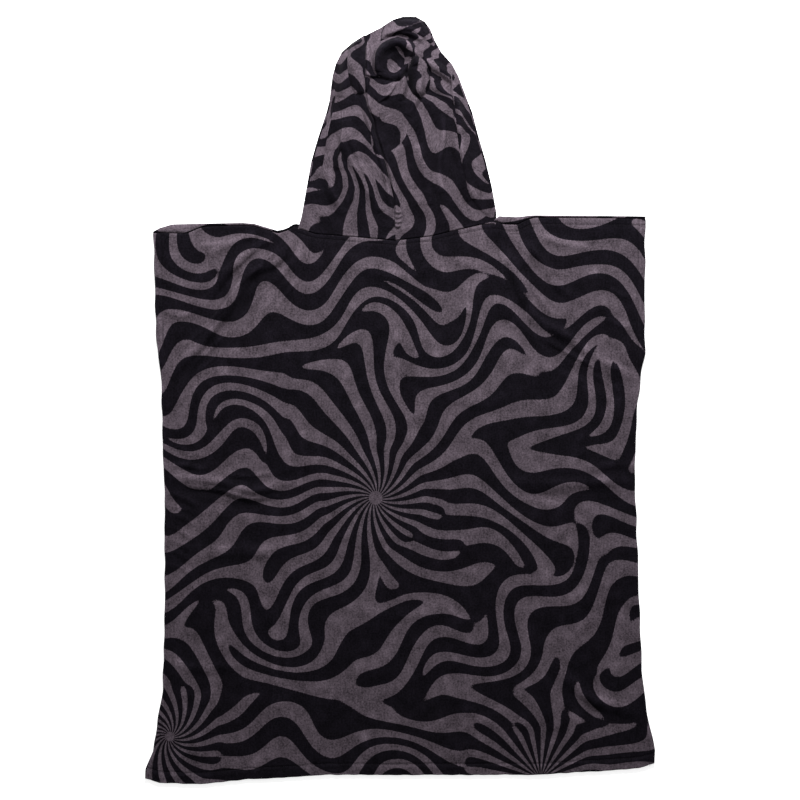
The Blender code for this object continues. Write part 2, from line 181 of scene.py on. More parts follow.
def eased(t: Array | float) -> Array:
    """0 to 1 with a level start and end: 3t^2 - 2t^3 of t held between 0 and 1."""
    t = np.clip(t, 0.0, 1.0)
    return t * t * (3 - 2 * t)


def spaced(marks: Sequence[tuple[float, float]], even: int) -> Array:
    """Places from the first mark to the last, with a spacing that changes between marks.

    Args:
        marks: rows of (place, spacing there), with rising places.
        even: the count of intervals is rounded up to a multiple of this.

    Returns:
        Places whose density is one over the spacing, which runs straight between the marks.
    """
    places, spacing = np.array(marks).T
    fine = np.linspace(places[0], places[-1], 20001)
    density = 1 / np.interp(fine, places, spacing)
    total = np.concatenate([[0.0], np.cumsum((density[1:] + density[:-1]) / 2 * np.diff(fine))])
    count = even * math.ceil(total[-1] / even)
    return np.interp(np.linspace(0, total[-1], count + 1), total, fine)


@dataclass(frozen=True)
class Waves:
    """A gentle unevenness: a sum of sine waves in seeded directions.

    Attributes:
        seed: of the directions and phases.
        lengths: shortest and longest wavelength.
        count: number of waves.
    """

    seed: int
    lengths: tuple[float, float]
    count: int = 7

    def each(self) -> Iterator[tuple[float, float, float]]:
        """(direction, phase, wave number) of each wave."""
        rng = np.random.default_rng(self.seed)
        for _ in range(self.count):
            angle, phase = rng.uniform(0, TAU, 2)
            yield angle, phase, TAU / rng.uniform(*self.lengths)

    def at(self, x: Array, y: Array) -> Array:
        """The sum at the points, scaled so that its usual size is 1."""
        total = np.zeros(np.broadcast(x, y).shape)
        for angle, phase, number in self.each():
            total += np.sin(number * (x * math.cos(angle) + y * math.sin(angle)) + phase)
        return total / math.sqrt(self.count / 2)

    def stir(self, x: Array, y: Array) -> tuple[Array, Array]:
        """A stirring of the plane that keeps areas: the sum's slopes, turned a quarter.

        Args:
            x: of the points.
            y: of the points.

        Returns:
            (shift in x, shift in y), scaled so that their usual size is about 1.
        """
        shift_x, shift_y = np.zeros(x.shape), np.zeros(x.shape)
        scale = sum(self.lengths) / 2 / TAU / math.sqrt(self.count / 2)
        for angle, phase, number in self.each():
            slope = np.cos(number * (x * math.cos(angle) + y * math.sin(angle)) + phase)
            shift_x += scale * number * math.sin(angle) * slope
            shift_y -= scale * number * math.cos(angle) * slope
        return shift_x, shift_y


def through(a: Array, b: Array, c: Array, d: Array, t: Array) -> Array:
    """Points of a Catmull-Rom curve, t of the way from b to c, with a before and d after them."""
    level = 0.5 * (2 * b + (c - a) * t + (2 * a - 5 * b + 4 * c - d) * t**2)
    return level + 0.5 * (3 * b - a - 3 * c + d) * t**3


class Profile(Enum):
    """How a crease looks across its line."""

    RIDGE = "ridge"  # a soft roll, or a trough where its height is below 0
    STEP = "step"  # a fold laid over: high at once on the left of the line, then falling away


@dataclass(frozen=True)
class Crease:
    """A crease placed along a given line of points.

    Attributes:
        height: of the middle of the line.
        left: reach on the left of the line, looking along it.
        right: reach on the right.
        line: points that the crease's smooth curve goes through.
        profile: its shape across the line.
        shift: how far a STEP hides the printed cloth, across the line.
    """

    height: float
    left: float
    right: float
    line: Sequence[Point]
    profile: Profile = Profile.RIDGE
    shift: float = 0.0

    def curve(self) -> Array:
        """Points on a Catmull-Rom curve through the line, eight to a stretch."""
        ends = np.array(self.line)
        if len(ends) == 2:
            return np.linspace(ends[0], ends[1], 3)
        held = np.vstack([2 * ends[0] - ends[1], ends, 2 * ends[-1] - ends[-2]])
        t = np.linspace(0, 1, 9)[:-1, None]
        stretches = zip(held, held[1:], held[2:], held[3:])
        parts = [through(a, b, c, d, t) for a, b, c, d in stretches]
        return np.vstack([*parts, ends[-1:]])

    def measure(self, x: Array, y: Array) -> tuple[Array, Array]:
        """Where points are, as seen from the crease.

        Args:
            x: of the points.
            y: of the points.

        Returns:
            (distance from the curve, above 0 on its left; share of its length at the foot).
        """
        path = self.curve()
        steps = np.diff(path, axis=0)
        lengths = np.hypot(*steps.T)
        gone = np.concatenate([[0.0], np.cumsum(lengths)])
        best = np.full(x.shape, np.inf)
        side, share = np.zeros(x.shape), np.zeros(x.shape)
        for (ax, ay), (dx, dy), length, start in zip(path, steps, lengths, gone):
            t = np.clip(((x - ax) * dx + (y - ay) * dy) / length**2, 0, 1)
            away = np.hypot(x - ax - dx * t, y - ay - dy * t)
            nearer = away < best
            best = np.where(nearer, away, best)
            side = np.where(nearer, np.sign(dx * (y - ay) - dy * (x - ax)), side)
            share = np.where(nearer, (start + length * t) / gone[-1], share)
        return best * np.where(side == 0, 1.0, side), share

    def strength(self, x: Array, y: Array) -> Array:
        """0 to 1: the profile across the line times its fading towards the two ends.

        A ridge is (1 - (d / reach)^2)^2 of the distance d. A step rises over the right reach
        on that side of the line and falls as exp(-d / left reach) on the other.
        """
        away, share = self.measure(x, y)
        ends = np.sqrt(np.clip(np.sin(np.pi * share), 0, 1))
        if self.profile is Profile.RIDGE:
            reach = np.where(away > 0, self.left, self.right)
            return np.clip(1 - (away / reach) ** 2, 0, 1) ** 2 * ends
        rise = eased(away / self.right + 1)
        return rise * np.exp(-np.clip(away, 0, None) / self.left) * ends

    def height_at(self, x: Array, y: Array) -> Array:
        """What the crease adds to the height of the points, uneven along its length.

        The unevenness is seeded by where the crease starts, in tenths of a millimetre.
        """
        seed = round(abs(self.line[0][0]) * 1e4)
        uneven = 1 + CREASE_UNEVEN * Waves(seed, (0.05, 0.12)).at(x, y)
        return self.height * self.strength(x, y) * uneven


# Creases of the back panel: height, left reach, right reach, points
PANEL_CREASES: Sequence[Crease] = (
    # from the neck over the left shoulder
    Crease(0.0066, 0.012, 0.018, (
        (-0.182, 0.268), (-0.200, 0.232), (-0.246, 0.206), (-0.279, 0.156), (-0.329, 0.091),
        (-0.382, 0.038)
    )),
    Crease(-0.0032, 0.008, 0.012, (
        (-0.170, 0.215), (-0.215, 0.180), (-0.250, 0.130), (-0.300, 0.066), (-0.360, 0.010)
    )),
    Crease(0.0045, 0.012, 0.014, ((-0.205, 0.272), (-0.245, 0.246), (-0.290, 0.205), (-0.330, 0.150))),
    Crease(0.0040, 0.010, 0.012, ((-0.230, 0.276), (-0.272, 0.262), (-0.318, 0.240))),
    Crease(0.0030, 0.012, 0.012, ((-0.165, 0.262), (-0.172, 0.226), (-0.196, 0.186))),
    Crease(-0.0030, 0.007, 0.009, (
        (-0.182, 0.238), (-0.216, 0.196), (-0.256, 0.146), (-0.300, 0.086), (-0.352, 0.036)
    )),
    Crease(0.0024, 0.005, 0.007, ((-0.176, 0.256), (-0.206, 0.240), (-0.246, 0.222), (-0.286, 0.182))),
    Crease(0.0022, 0.005, 0.007, ((-0.176, 0.244), (-0.190, 0.210), (-0.224, 0.168), (-0.262, 0.116))),
    Crease(0.0022, 0.006, 0.008, ((-0.270, 0.176), (-0.300, 0.140), (-0.334, 0.108), (-0.372, 0.078))),
    Crease(0.0026, 0.006, 0.008, ((-0.284, 0.268), (-0.304, 0.258), (-0.330, 0.254))),
    Crease(0.0018, 0.006, 0.008, ((-0.390, 0.150), (-0.362, 0.140), (-0.330, 0.150))),
    Crease(0.0034, 0.005, 0.007, (
        (-0.192, 0.264), (-0.222, 0.226), (-0.262, 0.192), (-0.300, 0.142), (-0.330, 0.116)
    )),
    Crease(0.0032, 0.005, 0.006, (
        (-0.172, 0.236), (-0.204, 0.202), (-0.244, 0.158), (-0.290, 0.104), (-0.338, 0.060)
    )),
    Crease(0.0026, 0.005, 0.006, ((-0.230, 0.152), (-0.262, 0.112), (-0.306, 0.068), (-0.344, 0.040))),
    Crease(-0.0030, 0.006, 0.008, ((-0.206, 0.262), (-0.236, 0.240), (-0.270, 0.206), (-0.296, 0.172))),
    Crease(0.0024, 0.005, 0.006, ((-0.160, 0.216), (-0.184, 0.178), (-0.214, 0.140))),
    # from the neck over the right shoulder
    Crease(0.0058, 0.011, 0.016, (
        (0.165, 0.262), (0.180, 0.232), (0.198, 0.198), (0.223, 0.140), (0.273, 0.108),
        (0.330, 0.066), (0.392, 0.036)
    )),
    Crease(-0.0028, 0.009, 0.012, (
        (0.170, 0.130), (0.205, 0.098), (0.240, 0.074), (0.297, 0.045), (0.363, 0.006)
    )),
    Crease(0.0034, 0.012, 0.014, ((0.188, 0.272), (0.226, 0.236), (0.262, 0.190), (0.300, 0.160))),
    Crease(0.0028, 0.010, 0.012, ((0.212, 0.284), (0.262, 0.262), (0.316, 0.250))),
    Crease(-0.0026, 0.008, 0.009, (
        (0.172, 0.214), (0.190, 0.170), (0.214, 0.118), (0.262, 0.078), (0.322, 0.040)
    )),
    Crease(0.0020, 0.006, 0.008, ((0.166, 0.244), (0.172, 0.200), (0.184, 0.160))),
    Crease(0.0020, 0.006, 0.008, ((0.392, 0.118), (0.360, 0.124), (0.336, 0.136))),
    Crease(0.0018, 0.006, 0.008, ((0.394, 0.170), (0.366, 0.172), (0.342, 0.184))),
    Crease(0.0028, 0.005, 0.006, ((0.178, 0.256), (0.196, 0.222), (0.224, 0.176), (0.254, 0.140))),
    Crease(0.0026, 0.005, 0.006, (
        (0.182, 0.150), (0.214, 0.112), (0.262, 0.086), (0.316, 0.058), (0.360, 0.034)
    )),
    Crease(0.0022, 0.005, 0.006, ((0.206, 0.264), (0.238, 0.226), (0.272, 0.200))),
    # across the waist, from both sides
    Crease(0.0052, 0.011, 0.014, (
        (-0.384, -0.122), (-0.340, -0.128), (-0.296, -0.132), (-0.238, -0.148), (-0.176, -0.130)
    )),
    Crease(-0.0022, 0.010, 0.012, ((-0.330, -0.164), (-0.270, -0.172), (-0.205, -0.168))),
    Crease(0.0036, 0.012, 0.015, ((0.170, -0.128), (0.240, -0.135), (0.297, -0.135), (0.384, -0.128))),
    Crease(-0.0020, 0.010, 0.012, ((0.250, -0.160), (0.320, -0.164), (0.378, -0.160))),
    Crease(0.0030, 0.010, 0.012, ((0.320, -0.112), (0.352, -0.104), (0.386, -0.108))),
    Crease(0.0024, 0.006, 0.008, ((-0.384, -0.104), (-0.350, -0.106), (-0.318, -0.114))),
    Crease(-0.0024, 0.007, 0.009, ((-0.368, -0.146), (-0.310, -0.152), (-0.254, -0.164))),
    Crease(-0.0024, 0.007, 0.009, ((0.196, -0.152), (0.262, -0.158), (0.330, -0.156), (0.376, -0.150))),
    Crease(0.0026, 0.005, 0.006, (
        (-0.350, -0.140), (-0.300, -0.146), (-0.246, -0.160), (-0.196, -0.156)
    )),
    Crease(0.0022, 0.005, 0.006, ((-0.300, -0.118), (-0.256, -0.124), (-0.206, -0.118))),
    # small ones spreading from the left side
    Crease(0.0022, 0.005, 0.006, ((-0.388, -0.072), (-0.362, -0.078), (-0.338, -0.092))),
    Crease(0.0022, 0.005, 0.006, ((-0.388, -0.168), (-0.366, -0.176), (-0.344, -0.180))),
    Crease(0.0020, 0.005, 0.006, ((-0.388, -0.206), (-0.364, -0.212), (-0.344, -0.226))),
    Crease(0.0018, 0.005, 0.006, ((-0.388, -0.246), (-0.366, -0.250), (-0.348, -0.262))),
    Crease(0.0026, 0.008, 0.010, ((-0.386, -0.150), (-0.358, -0.158), (-0.330, -0.172))),
    Crease(0.0024, 0.008, 0.010, ((-0.386, -0.186), (-0.360, -0.190), (-0.336, -0.204))),
    Crease(0.0020, 0.008, 0.010, ((-0.386, -0.226), (-0.362, -0.232), (-0.342, -0.246))),
    Crease(0.0018, 0.008, 0.010, ((-0.386, -0.268), (-0.362, -0.272), (-0.340, -0.282))),
    # shallow ones in the middle and towards the hem
    Crease(0.0026, 0.008, 0.008, ((-0.160, -0.049), (-0.161, -0.098), (-0.164, -0.148))),
    Crease(0.0026, 0.016, 0.016, (
        (-0.334, -0.250), (-0.270, -0.246), (-0.205, -0.247), (-0.170, -0.222)
    )),
    Crease(0.0044, 0.016, 0.018, ((0.250, -0.430), (0.284, -0.462), (0.318, -0.488), (0.404, -0.519))),
    Crease(-0.0020, 0.014, 0.016, ((0.280, -0.478), (0.310, -0.508), (0.352, -0.535))),
    Crease(0.0018, 0.012, 0.012, ((-0.205, -0.329), (-0.204, -0.420), (-0.207, -0.527))),
    Crease(-0.0018, 0.014, 0.012, ((0.374, -0.165), (0.378, -0.280), (0.375, -0.412))),
    Crease(0.0022, 0.014, 0.016, ((-0.386, -0.420), (-0.330, -0.440), (-0.270, -0.430))),
    Crease(0.0020, 0.016, 0.016, ((-0.100, 0.250), (-0.060, 0.220), (-0.010, 0.208), (0.050, 0.216))),
    Crease(0.0022, 0.012, 0.014, ((0.060, 0.262), (0.090, 0.236), (0.130, 0.222))),
    Crease(0.0016, 0.018, 0.018, ((-0.100, -0.330), (-0.020, -0.352), (0.090, -0.340))),
    Crease(0.0016, 0.020, 0.018, ((0.060, 0.020), (0.120, 0.000), (0.190, 0.010))),
    Crease(0.0018, 0.016, 0.018, ((0.100, -0.500), (0.160, -0.530), (0.190, -0.590))),
)  # fmt: skip

# Creases of the hood's upper side
HOOD_CREASES: Sequence[Crease] = (
    # the arched fold over the crown's hollow
    Crease(0.0100, 0.012, 0.016, (
        (-0.036, 0.536), (-0.036, 0.562), (-0.020, 0.582), (0.004, 0.584), (0.022, 0.570),
        (0.028, 0.546)
    )),
    Crease(-0.0050, 0.014, 0.014, ((-0.018, 0.536), (-0.004, 0.556), (0.012, 0.548))),
    # the knob of cloth at the very top
    Crease(0.0050, 0.012, 0.010, ((-0.030, 0.600), (-0.006, 0.608), (0.018, 0.604), (0.036, 0.590))),
    Crease(-0.0034, 0.008, 0.008, ((-0.026, 0.590), (0.000, 0.596), (0.028, 0.588), (0.044, 0.572))),
    # gathers below the arch
    Crease(0.0060, 0.010, 0.014, ((0.024, 0.560), (0.032, 0.530), (0.028, 0.500), (0.012, 0.466))),
    Crease(0.0040, 0.008, 0.008, ((0.002, 0.538), (0.006, 0.516), (0.000, 0.490))),
    Crease(-0.0030, 0.008, 0.008, ((0.012, 0.540), (0.016, 0.515), (0.010, 0.488))),
    # creases running right from the crown
    Crease(0.0058, 0.012, 0.012, ((0.036, 0.556), (0.062, 0.546), (0.094, 0.524))),
    Crease(-0.0030, 0.010, 0.010, ((0.040, 0.538), (0.066, 0.526), (0.092, 0.506))),
    Crease(0.0040, 0.010, 0.012, ((0.040, 0.520), (0.068, 0.508), (0.100, 0.486))),
    # folds laid over, with the printed cloth hidden in them
    Crease(0.0042, 0.022, 0.0035, (
        (-0.106, 0.496), (-0.112, 0.470), (-0.118, 0.440), (-0.122, 0.412)
    ), Profile.STEP),
    Crease(0.0040, 0.026, 0.0030, (
        (-0.094, 0.474), (-0.094, 0.440), (-0.100, 0.410), (-0.106, 0.380)
    ), Profile.STEP),
    Crease(0.0046, 0.026, 0.0032, (
        (0.084, 0.532), (0.088, 0.500), (0.090, 0.466), (0.096, 0.436)
    ), Profile.STEP, 0.016),
    Crease(0.0040, 0.020, 0.0030, (
        (-0.036, 0.488), (-0.018, 0.500), (-0.004, 0.522)
    ), Profile.STEP, 0.010),
    Crease(0.0034, 0.018, 0.0030, (
        (-0.058, 0.534), (-0.044, 0.530), (-0.030, 0.532)
    ), Profile.STEP, 0.008),
    # the left half's seamed edge, which stands over the right half
    Crease(0.0034, 0.0050, 0.0070, (
        (-0.062, 0.560), (-0.062, 0.510), (-0.058, 0.480), (-0.047, 0.445), (-0.036, 0.410),
        (-0.024, 0.370), (-0.015, 0.320)
    )),
    # long soft ones down to the neck
    Crease(0.0058, 0.014, 0.018, ((0.098, 0.500), (0.096, 0.440), (0.106, 0.380), (0.120, 0.330))),
    Crease(0.0054, 0.012, 0.016, ((-0.088, 0.460), (-0.070, 0.400), (-0.048, 0.350), (-0.030, 0.310))),
    Crease(0.0046, 0.010, 0.014, ((-0.120, 0.380), (-0.110, 0.340), (-0.092, 0.306))),
    Crease(0.0048, 0.011, 0.014, ((0.030, 0.420), (0.044, 0.370), (0.048, 0.320))),
    Crease(0.0030, 0.012, 0.012, ((-0.078, 0.560), (-0.072, 0.520), (-0.074, 0.480))),
    Crease(0.0024, 0.010, 0.010, ((-0.094, 0.552), (-0.090, 0.520), (-0.092, 0.496))),
    Crease(0.0036, 0.008, 0.010, ((-0.100, 0.470), (-0.092, 0.420), (-0.072, 0.376), (-0.050, 0.330))),
    Crease(0.0030, 0.007, 0.009, ((0.070, 0.470), (0.072, 0.430), (0.064, 0.386), (0.070, 0.340))),
)  # fmt: skip
# The frill of cloth caught in the foot of the centre seam
FRILL: Sequence[Crease] = (
    Crease(0.0026, 0.0030, 0.0030, ((-0.009, 0.312), (-0.003, 0.309), (0.003, 0.311))),
    Crease(0.0030, 0.0030, 0.0030, ((-0.010, 0.304), (-0.004, 0.301), (0.004, 0.304))),
    Crease(0.0030, 0.0030, 0.0030, ((-0.010, 0.295), (-0.004, 0.293), (0.004, 0.296))),
    Crease(0.0024, 0.0030, 0.0030, ((-0.009, 0.288), (-0.003, 0.286), (0.003, 0.288))),
)  # fmt: skip


@dataclass(frozen=True)
class Tuck:
    """A place where cloth is folded over itself, so that another stretch of it shows.

    Attributes:
        outline: points that its closed, smooth edge goes through.
        height: how far its middle stands above the cloth round it.
        reach: distance from the edge at which most of that is reached.
        shift: of its print from the print round it.
        turn: degrees by which its print is turned.
    """

    outline: Sequence[Point]
    height: float
    reach: float
    shift: Point
    turn: float = 0.0

    def curve(self) -> Array:
        """Points on the closed Catmull-Rom curve through the outline, six to a stretch."""
        b = np.array(self.outline)
        a, c, d = np.roll(b, 1, axis=0), np.roll(b, -1, axis=0), np.roll(b, -2, axis=0)
        t = np.linspace(0, 1, 7)[:-1, None, None]
        return through(a, b, c, d, t).transpose(1, 0, 2).reshape(-1, 2)

    def depth(self, x: Array, y: Array) -> Array:
        """Distance from the edge, above 0 inside it, by counting crossed edges."""
        path = self.curve()
        best, inside = np.full(x.shape, np.inf), np.zeros(x.shape, bool)
        for (ax, ay), (bx, by) in zip(path, np.roll(path, -1, axis=0)):
            dx, dy = bx - ax, by - ay
            t = np.clip(((x - ax) * dx + (y - ay) * dy) / (dx * dx + dy * dy), 0, 1)
            best = np.minimum(best, np.hypot(x - ax - dx * t, y - ay - dy * t))
            if dy:
                inside ^= ((ay > y) != (by > y)) & (x < dx * (y - ay) / dy + ax)
        return np.where(inside, best, -best)

    def height_at(self, x: Array, y: Array) -> Array:
        """What it adds to the height: 1 - exp(-depth / reach) inside, a crease outside."""
        depth = self.depth(x, y)
        rise = self.height * (1 - np.exp(-np.clip(depth, 0, None) / self.reach))
        return rise - TUCK_CREASE * abs(self.height) * np.exp(-((depth / TUCK_CREASE_WIDTH) ** 2))


# Tucks of the hood's upper side
HOOD_TUCKS: Sequence[Tuck] = (
    # the outermost pleat on the left
    Tuck((
        (-0.106, 0.506), (-0.130, 0.506), (-0.155, 0.440), (-0.170, 0.372), (-0.134, 0.366),
        (-0.120, 0.430)
    ), 0.0024, 0.004, (-0.05, 0.06)),
    # the strip beside the seam below the crown
    Tuck((
        (-0.050, 0.604), (-0.076, 0.600), (-0.086, 0.562), (-0.082, 0.520), (-0.070, 0.500),
        (-0.050, 0.516)
    ), 0.0030, 0.004, (0.09, 0.05), -40),
    # the cloth beyond the long fold on the right
    Tuck((
        (0.088, 0.548), (0.128, 0.550), (0.146, 0.450), (0.172, 0.330), (0.152, 0.300),
        (0.118, 0.330), (0.099, 0.400), (0.091, 0.470)
    ), 0.0030, 0.006, (0.06, 0.03)),
    # the pocket beside the seam
    Tuck((
        (-0.040, 0.404), (-0.046, 0.452), (-0.014, 0.472), (0.012, 0.452), (0.000, 0.420)
    ), -0.0030, 0.006, (0.10, -0.04), 45),
    # the knob at the very top
    Tuck((
        (-0.030, 0.594), (0.004, 0.604), (0.034, 0.597), (0.058, 0.582), (0.064, 0.610),
        (0.037, 0.640), (0.009, 0.646), (-0.014, 0.634)
    ), 0.0036, 0.006, (-0.20, 0.10), 30),
    # the dome under the arched fold
    Tuck((
        (-0.040, 0.532), (-0.004, 0.522), (0.012, 0.540), (0.021, 0.566), (0.013, 0.588),
        (-0.008, 0.597), (-0.032, 0.588), (-0.044, 0.566)
    ), 0.0044, 0.006, (-0.20, -0.04), 60),
    # the hollow inside the arch
    Tuck((
        (-0.026, 0.540), (-0.008, 0.536), (0.006, 0.548), (0.006, 0.566), (-0.006, 0.578),
        (-0.024, 0.570), (-0.031, 0.554)
    ), -0.0056, 0.005, (-0.04, 0.08), -30),
    # the round gather to its right
    Tuck((
        (0.012, 0.528), (0.021, 0.502), (0.036, 0.496), (0.049, 0.516), (0.047, 0.541),
        (0.034, 0.561), (0.017, 0.557)
    ), 0.0060, 0.007, (-0.06, -0.09), 80),
    # the frill at the foot of the seam
    Tuck((
        (-0.010, 0.319), (0.000, 0.317), (0.005, 0.304), (0.003, 0.289), (-0.005, 0.282),
        (-0.010, 0.290)
    ), 0.0016, 0.003, (-0.24, 0.20)),
)  # fmt: skip


@dataclass(frozen=True)
class SwirlPrint:
    """A print of swirling light and dark bands with sunbursts, grown on a repeating square.

    Bands start as seeded noise. Each round, a bank of wave filters strengthens at every place
    the waves whose crests run the way that a field of directions gives there, and a soft limit
    squares them up. The rays of the sunbursts are held, so the bands grow on from them.

    Attributes:
        cells: points along the square's side.
        side: length of the side.
        centre: of the square.
        flow: seed of the directions.
        bends: shortest and longest wavelength of the directions' wandering.
        lean: pull towards level bands.
        foot_lean: how much stronger it is below the foot line.
        foot: y at which that starts.
        foot_ease: distance below it over which that comes in.
        edge_fade: distance from the square's edge over which the wandering fades out.
        pull: distance over which a burst sets the direction.
        burst_weight: how firmly it does so in its middle.
        period: of two neighbouring bands.
        rounds: of growing.
        core: radius within which a sunburst's rays are held.
        core_ease: distance over which they are let go.
        held_from: share of hold above which a cell starts from the rays, not the noise.
        noise: size of the noise that the bands start from.
        seed: of the noise.
        turns: directions in the bank of wave filters, over half a turn.
        periods: of its waves, as shares of the period.
        narrowest: period that the rays get no narrower than.
        spread: width of a filter's reach, as a share of its wavelength.
        gain: of the soft limit.
        softening: blur of the grown bands.
        sharp_within: distance from a burst within which they aren't blurred.
        sharp_ease: distance over which the blur comes in.
        sway: how far the stir moves the cloth's places.
        stirs: steps in which it does.
        stir_waves: that it follows.
        calm_within: distance from a burst within which nothing is stirred.
        calm_ease: distance over which the stir comes in.
        level: value above which a band is light.
        swell: how far that level rises and falls.
        swell_waves: that it follows.
        grown: the grown print, once it has been made.
    """

    cells: int = 400
    side: float = PRINT_SIDE
    centre: Point = (0.0, -0.16)
    flow: int = 171
    bends: tuple[float, float] = (0.26, 0.46)
    lean: float = 0.6
    foot_lean: float = 0.7
    foot: float = -0.30
    foot_ease: float = 0.25
    edge_fade: float = 0.10
    pull: float = 0.115
    burst_weight: float = 6.0
    period: float = 0.047
    rounds: int = 16
    core: float = BURST_CORE
    core_ease: float = 0.008
    held_from: float = 0.01
    noise: float = 0.3
    seed: int = 5
    turns: int = 16
    periods: Sequence[float] = (0.365, 0.48, 0.635, 0.81, 1.0)
    narrowest: float = 0.018
    spread: float = 0.62
    gain: float = 1.5
    softening: float = 0.0048
    sharp_within: float = 0.13
    sharp_ease: float = 0.04
    sway: float = 0.028
    stirs: int = 3
    stir_waves: Waves = Waves(14, (0.15, 0.24))
    calm_within: float = 0.072
    calm_ease: float = 0.16
    level: float = 0.13
    swell: float = 0.20
    swell_waves: Waves = Waves(19, (0.08, 0.16))
    grown: list[Array] = field(default_factory=list)

    def axes(self) -> tuple[Array, Array]:
        """x and y of every cell of the square."""
        steps = (np.arange(self.cells) + 0.5) * self.side / self.cells - self.side / 2
        return tuple(np.meshgrid(steps + self.centre[0], steps + self.centre[1]))

    def directions(self, x: Array, y: Array) -> Array:
        """Angle of the bands: half the angle of a smooth field with two parts.

        A direction has no head or tail, so the field holds doubled angles. It leans to level
        bands, more so towards the foot, and wanders by two seeded sums of waves, which fade
        out at the square's edge so that the print repeats. Where they cancel the lean, bands
        end, fork or bend back. A burst adds its own spiral round itself.
        """
        from_middle = np.maximum(np.abs(x - self.centre[0]), np.abs(y - self.centre[1]))
        inside = eased((self.side / 2 - from_middle) / self.edge_fade)
        across = self.lean + self.foot_lean * eased((self.foot - y) / self.foot_ease)
        across = across + inside * Waves(self.flow, self.bends).at(x, y)
        along = inside * Waves(self.flow + 1, self.bends).at(x, y)
        for bx, by, _, twist, _ in BURSTS:
            near = np.exp(-((x - bx) ** 2 + (y - by) ** 2) / self.pull**2)
            weight = self.burst_weight * near
            angle = np.arctan2(y - by, x - bx) + math.atan(twist)
            across += weight * np.cos(2 * angle)
            along += weight * np.sin(2 * angle)
        return 0.5 * np.arctan2(along, across)

    def rays(self, x: Array, y: Array) -> tuple[Array, Array, Array]:
        """(rays of the bursts, how firmly they are held, period of the bands)."""
        held, rays = np.zeros(x.shape), np.zeros(x.shape)
        period = np.full(x.shape, self.period)
        for bx, by, count, twist, _ in BURSTS:
            away, angle = np.hypot(x - bx, y - by), np.arctan2(y - by, x - bx)
            period = np.minimum(period, np.maximum(TAU * away / count, self.narrowest))
            firm = 1 / (1 + np.exp((away - self.core) / self.core_ease))
            spiral = np.log(away / SPIRAL_SCALE + SPIRAL_START)
            rays = rays * (1 - firm) + firm * np.cos(count * (angle - twist * spiral))
            held = np.maximum(held, firm)
        return rays, held, period

    def grow(self) -> Array:
        """Grows the print once and keeps it.

        Returns:
            Values on the square's cells, above 0 on the light bands.
        """
        if self.grown:
            return self.grown[0]
        x, y = self.axes()
        rays, held, period = self.rays(x, y)
        noise = np.random.default_rng(self.seed).standard_normal(x.shape)
        made = np.where(held > self.held_from, rays, self.noise * noise)
        lengths = np.array(self.periods) * self.period
        turn = (self.directions(x, y) / np.pi % 1.0) * self.turns
        rank = np.interp(period, lengths, np.arange(len(lengths)))
        banks = []
        wave = np.fft.fftfreq(self.cells, self.side / self.cells) * TAU
        kx, ky = np.meshgrid(wave[: self.cells // 2 + 1].copy(), wave)
        kx[:, -1] = np.abs(kx[:, -1])
        half = self.turns / 2
        for i in range(self.turns):
            near = np.clip(1 - np.abs((turn - i + half) % self.turns - half), 0, 1)
            angle = np.pi * i / self.turns + np.pi / 2
            for j, length in enumerate(lengths):
                share = near * np.clip(1 - np.abs(rank - j), 0, 1)
                if not share.any():
                    continue
                px, py = TAU / length * math.cos(angle), TAU / length * math.sin(angle)
                width = (self.spread * length) ** 2 / 2
                bell = np.exp(-((kx - px) ** 2 + (ky - py) ** 2) * width)
                bell += np.exp(-((kx + px) ** 2 + (ky + py) ** 2) * width)
                banks.append((share, bell))
        for _ in range(self.rounds):
            spectrum = np.fft.rfft2(made)
            made = sum(share * np.fft.irfft2(spectrum * bell) for share, bell in banks)
            made = np.tanh(self.gain * made / np.sqrt((made**2).mean()))
            made = made * (1 - held) + rays * held
        blur = np.exp(-(kx**2 + ky**2) * self.softening**2 / 2)
        soft = np.fft.irfft2(np.fft.rfft2(made) * blur)
        near = np.zeros(x.shape)
        for bx, by, _, _, _ in BURSTS:
            inward = self.sharp_within - np.hypot(x - bx, y - by)
            near = np.maximum(near, eased(inward / self.sharp_ease))
        self.grown.append(soft * (1 - near) + made * near)
        return self.grown[0]

    def sample(self, u: Array, v: Array) -> Array:
        """The print at places on the cloth.

        The place is first stirred by about half a band, less near a burst, so that the bands
        flow in waves, and the level at which a band is light rises and falls, so that widths
        vary. The cells are read with Catmull-Rom weights in both directions.

        Args:
            u: across the cloth.
            v: up the cloth.

        Returns:
            Values above 0 on the light bands.
        """
        cells = self.grow()
        calm = np.ones(u.shape)
        for bx, by, _, _, _ in BURSTS:
            du = (u - bx + self.side / 2) % self.side - self.side / 2
            dv = (v - by + self.side / 2) % self.side - self.side / 2
            calm = calm * eased((np.hypot(du, dv) - self.calm_within) / self.calm_ease)
        uu, vv = u, v
        for _ in range(self.stirs):
            shift_u, shift_v = self.stir_waves.stir(uu, vv)
            uu = uu + self.sway / self.stirs * calm * shift_u
            vv = vv + self.sway / self.stirs * calm * shift_v
        level = self.level + self.swell * calm * self.swell_waves.at(u, v)
        scale = self.cells / self.side
        cu = (uu - self.centre[0] + self.side / 2) * scale - 0.5
        cv = (vv - self.centre[1] + self.side / 2) * scale - 0.5
        iu, iv = np.floor(cu).astype(int), np.floor(cv).astype(int)
        fu, fv = cu - iu, cv - iv
        total = np.zeros(u.shape)
        for j, wv in enumerate(catmull(fv), -1):
            row = sum(
                wu * cells[(iv + j) % self.cells, (iu + i) % self.cells]
                for i, wu in enumerate(catmull(fu), -1)
            )
            total += wv * row
        return total - level


